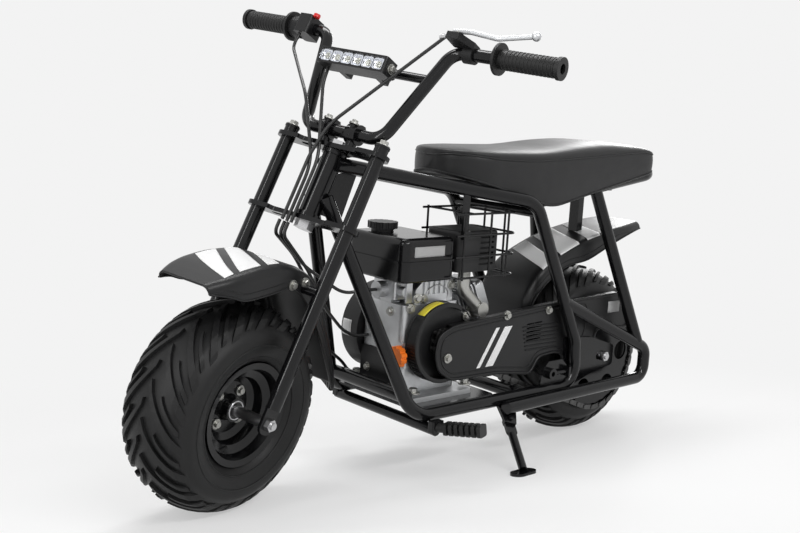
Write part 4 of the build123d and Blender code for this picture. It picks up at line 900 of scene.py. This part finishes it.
# Fork, bar and light fittings
LIGHT_HEIGHT = 0.619
crown_spots = [(on_stem(STEM_OFFSET, side, 0.4905), STEM_UP) for side in (-0.1, 0.1)]
clamp_spots = [(on_stem(0.004 + a, s, 0.5165), STEM_UP) for a in (-0.013, 0.013) for s in (-0.028, 0.028)]
fender_spots = [((x, 0.0712, 0.393), LEFT) for x in (0.782, 0.812)]
light_spots = [(on_stem(0.030, side, LIGHT_HEIGHT), aim)
               for side, aim in ((-0.0835, (0, -1, 0)), (0.0655, LEFT))]
for name, bolt, spots in (("crown_bolts", large_bolt, crown_spots), ("clamp_bolts", small_bolt, clamp_spots),
                          ("fender_bolts", small_bolt, fender_spots),
                          ("light_bolts", small_bolt, light_spots)):
    set_at(name, bolt, spots, "fork", zinc_steel)
for fin in range(7):
    height = 0.6070 + fin * 0.004
    rod(f"light_fin_{fin}", [on_stem(0.0118, side, height) for side in (-0.078, 0.060)], 0.0011, "fork",
        satin_black)
lamp_spots = [(on_stem(0.0402, -0.009 + (lamp - 2.5) * 0.0225, LIGHT_HEIGHT), STEM_AHEAD) for lamp in range(6)]
set_at("lamp_bulbs", bolt_mesh("lamp_bulb", 0.006, 0.001), lamp_spots, "fork", lamp_white)


def bar_spot(side):
    """Point along the straight end of the handlebar, at a distance to the left."""
    share = (abs(side) - BAR_BEND) / BAR_STRAIGHT
    return on_stem(-0.018 - 0.003 * share, side, 0.688 + 0.002 * share)


# Raised ribs along both rubber grips, between the flange and the end
for side, label in SIDES:
    start, stop = bar_spot(side * GRIP_START), bar_spot(side * GRIP_END)
    along = (stop - start).normalized()
    first = along.cross(STEM_UP).normalized()
    second = along.cross(first)
    rows = []
    for k in range(GRIP_STEPS + 1):
        spot = start + (stop - start) * (k / GRIP_STEPS)
        swell = GRIP_RADIUS + GRIP_RIB * (1 if k % 8 < 4 else 0) - (0.0006 if k in (0, GRIP_STEPS) else 0)
        rows.append([spot + (first * math.cos(a) + second * math.sin(a)) * swell
                     for a in (math.tau * i / GRIP_SIDES for i in range(GRIP_SIDES))])
    piece(f"grip_ribs_{label}", skin(f"grip_ribs_{label}", rows), "fork", moulded_rubber, smooth=False)

# Button, adjuster and pivot: two ends on the stem, radius, finish and roundness
for name, ends, radius, material, sides in (
        ("stop_button", ((0.0, -0.165, 0.704), (0.0, -0.165, 0.7105)), 0.0065, red_plastic, 6),
        ("cable_adjuster", ((0.0215, 0.1415, 0.698), (0.0205, 0.128, 0.694)), 0.0046, bright_steel, 5),
        ("lever_pivot", ((0.020, 0.160, 0.702), (0.020, 0.160, 0.7075)), 0.0055, zinc_steel, 5)):
    rod(name, [on_stem(*end) for end in ends], radius, "fork", material, sides=sides)


# Drive chain as links
def chain_route():
    """Tangent loop round both sprockets, in short steps on their arcs."""
    big, small = (CHAIN_PITCH / (2 * math.sin(math.pi / teeth)) for teeth in (SPROCKET_TEETH, DRIVE_TEETH))
    gap = math.hypot(CRANK_X, CRANK_Z - TYRE_RADIUS)
    facing, lean_in = math.atan2(CRANK_Z - TYRE_RADIUS, CRANK_X), math.acos((big - small) / gap)
    line = []
    for x, z, radius, first, turn, steps in (
            (0.0, TYRE_RADIUS, big, facing + lean_in, math.tau - 2 * lean_in, 60),
            (CRANK_X, CRANK_Z, small, facing - lean_in, 2 * lean_in, 24)):
        for k in range(steps + 1):
            angle = first + turn * k / steps
            line.append(Vector((x + radius * math.cos(angle), CHAIN_LINE, z + radius * math.sin(angle))))
    return line


def link_pair():
    """One inner and one outer link with their rollers, along X."""
    shape = bmesh.new()
    eighths = [(-1, k) for k in range(2, 7)] + [(1, k) for k in range(-2, 3)]
    for start, side in ((-CHAIN_PITCH, INNER_PLATE), (0.0, OUTER_PLATE)):
        outline = [(start + CHAIN_PITCH / 2 + end * CHAIN_PITCH / 2 + LINK_REACH * math.cos(k * math.pi / 4),
                    LINK_HALF * math.sin(k * math.pi / 4)) for end, k in eighths]
        for sign in (-1, 1):
            rings = [[shape.verts.new((x, sign * side + shift, z)) for x, z in outline]
                     for shift in (-LINK_WALL, LINK_WALL)]
            shape.faces.new(rings[0])
            shape.faces.new(list(reversed(rings[1])))
            for k in range(10):
                shape.faces.new((rings[0][k], rings[1][k], rings[1][(k + 1) % 10], rings[0][(k + 1) % 10]))
    for centre in (-CHAIN_PITCH, 0.0):
        roller = bmesh.ops.create_cone(shape, cap_ends=True, segments=8, radius1=ROLLER_RADIUS,
                                       radius2=ROLLER_RADIUS, depth=PIN_LENGTH)["verts"]
        bmesh.ops.rotate(shape, verts=roller, cent=(0, 0, 0), matrix=Matrix.Rotation(math.pi / 2, 3, "X"))
        bmesh.ops.translate(shape, verts=roller, vec=(centre, 0, 0))
    bmesh.ops.recalc_face_normals(shape, faces=shape.faces)
    return mesh_of(shape, "link_pair")


def drive_chain():
    """Links set along the loop in place of the plain CAD loop."""
    line = chain_route()
    holder = line_object("chain", line, True)
    length = sum((b - a).length for a, b in zip(line, line[1:] + line[:1]))
    mesh = made_by(PATH, "chain_links", link_pair(), {
        "Path": holder, "Count": round(length / (2 * CHAIN_PITCH)), "Material": chain_steel})
    bpy.data.objects.remove(holder)
    made = piece("chain_links", mesh, "frame", chain_steel, smooth=False)
    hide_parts("drive_chain")


drive_chain()

# Stage
PALE = (0.896, 0.896, 0.896, 1)
SHADOW_SHARE = 0.5
FLOOR_HALF = 12
CAMERA_PLACE = (1.8055, 1.5185, 0.3384)
CAMERA_YAW, CAMERA_TILT, CAMERA_ROLL = (math.radians(angle) for angle in (-131.29, -3.89, -1.30))
CAMERA_LENS = 48.67
# Name, place, aim, size and power
LAMPS = (("key", (0.4, 2.6, 2.2), (0, 0, 0.35), (2.2, 0.30), 42),
         ("front", (2.6, 0.4, 1.2), (0.1, 0, 0.4), (0.22, 2.0), 20),
         ("top", (-0.2, -0.4, 2.8), (0, 0, 0.4), (2.2, 0.35), 34),
         ("back", (-2.4, -1.2, 1.6), (0, 0, 0.4), (0.35, 1.8), 22))


def seen_rays(tree):
    """Node that gives 1 where a camera, glossy or transmission ray looks at the backdrop."""
    paths = add(tree, "ShaderNodeLightPath")
    first = add(tree, "ShaderNodeMath", operation="MAXIMUM")
    second = add(tree, "ShaderNodeMath", operation="MAXIMUM")
    wire(tree, (paths, "Is Camera Ray", first, 0), (paths, "Is Glossy Ray", first, 1), (first, 0, second, 0),
         (paths, "Is Transmission Ray", second, 1))
    return second


def studio_floor():
    """Pale floor with a soft shadow under the bike, which fades into the backdrop."""
    pale, tree, shader = new_material(
        "studio_floor", {"Base Color": (0.9, 0.9, 0.9, 1), "Roughness": 0.9, "Specular IOR Level": 0.0})
    bright = add(tree, "ShaderNodeEmission", {"Color": PALE})
    mix = add(tree, "ShaderNodeMixShader")
    place = add(tree, "ShaderNodeTexCoord")
    length = add(tree, "ShaderNodeVectorMath", operation="LENGTH")
    fade = add(tree, "ShaderNodeMapRange", {"From Min": 0.5, "From Max": 1.5, "To Min": SHADOW_SHARE},
               interpolation_type="SMOOTHSTEP")
    share = add(tree, "ShaderNodeMath", operation="MULTIPLY")
    wire(tree, (place, "Object", length, 0), (length, "Value", fade, "Value"), (seen_rays(tree), 0, share, 0),
         (fade, "Result", share, 1), (share, 0, mix, "Fac"), (shader, 0, mix, 1), (bright, 0, mix, 2),
         (mix, 0, tree.nodes["Material Output"], "Surface"))
    mesh = bpy.data.meshes.new("floor")
    corners = [(FLOOR_HALF * x, FLOOR_HALF * y, 0) for x, y in ((-1, -1), (1, -1), (1, 1), (-1, 1))]
    mesh.from_pydata(corners, [], [[0, 1, 2, 3]])
    mesh.materials.append(pale)
    floor = linked("floor", mesh)


def studio_world():
    """Even soft light, and the pale backdrop where it is seen."""
    world = bpy.data.worlds.new("studio")
    bpy.context.scene.world = world
    world.use_nodes = True
    tree = world.node_tree
    ambient = set_inputs(tree.nodes["Background"], {"Color": (0.9, 0.9, 0.9, 1), "Strength": 0.45})
    backdrop = add(tree, "ShaderNodeBackground", {"Color": PALE, "Strength": 1.0})
    either = add(tree, "ShaderNodeMixShader")
    wire(tree, (seen_rays(tree), 0, either, "Fac"), (ambient, 0, either, 1), (backdrop, 0, either, 2),
         (either, 0, tree.nodes["World Output"], "Surface"))


def studio_lamps():
    """Large soft lamps round the bike."""
    for name, place, aim, size, power in LAMPS:
        light = bpy.data.lights.new(name, "AREA")
        light.shape = "RECTANGLE"
        light.size, light.size_y = size
        light.energy = power
        lamp = linked(name, light)
        lamp.location = place
        lamp.rotation_euler = (Vector(aim) - Vector(place)).to_track_quat("-Z", "Y").to_euler()


def studio_camera():
    """The photograph's viewpoint."""
    view = bpy.data.cameras.new("photo_view")
    view.lens = CAMERA_LENS
    camera = linked("photo_view", view)
    look = Vector((math.cos(CAMERA_TILT) * math.cos(CAMERA_YAW), math.cos(CAMERA_TILT) * math.sin(CAMERA_YAW),
                   math.sin(CAMERA_TILT)))
    camera.matrix_world = (Matrix.Translation(rear_centre + Vector(CAMERA_PLACE))
                           @ look.to_track_quat("-Z", "Y").to_matrix().to_4x4()
                           @ Matrix.Rotation(CAMERA_ROLL, 4, "Z"))
    bpy.context.scene.camera = camera
    bpy.context.scene.view_settings.view_transform = "Standard"


studio_floor()
studio_world()
studio_lamps()
studio_camera()
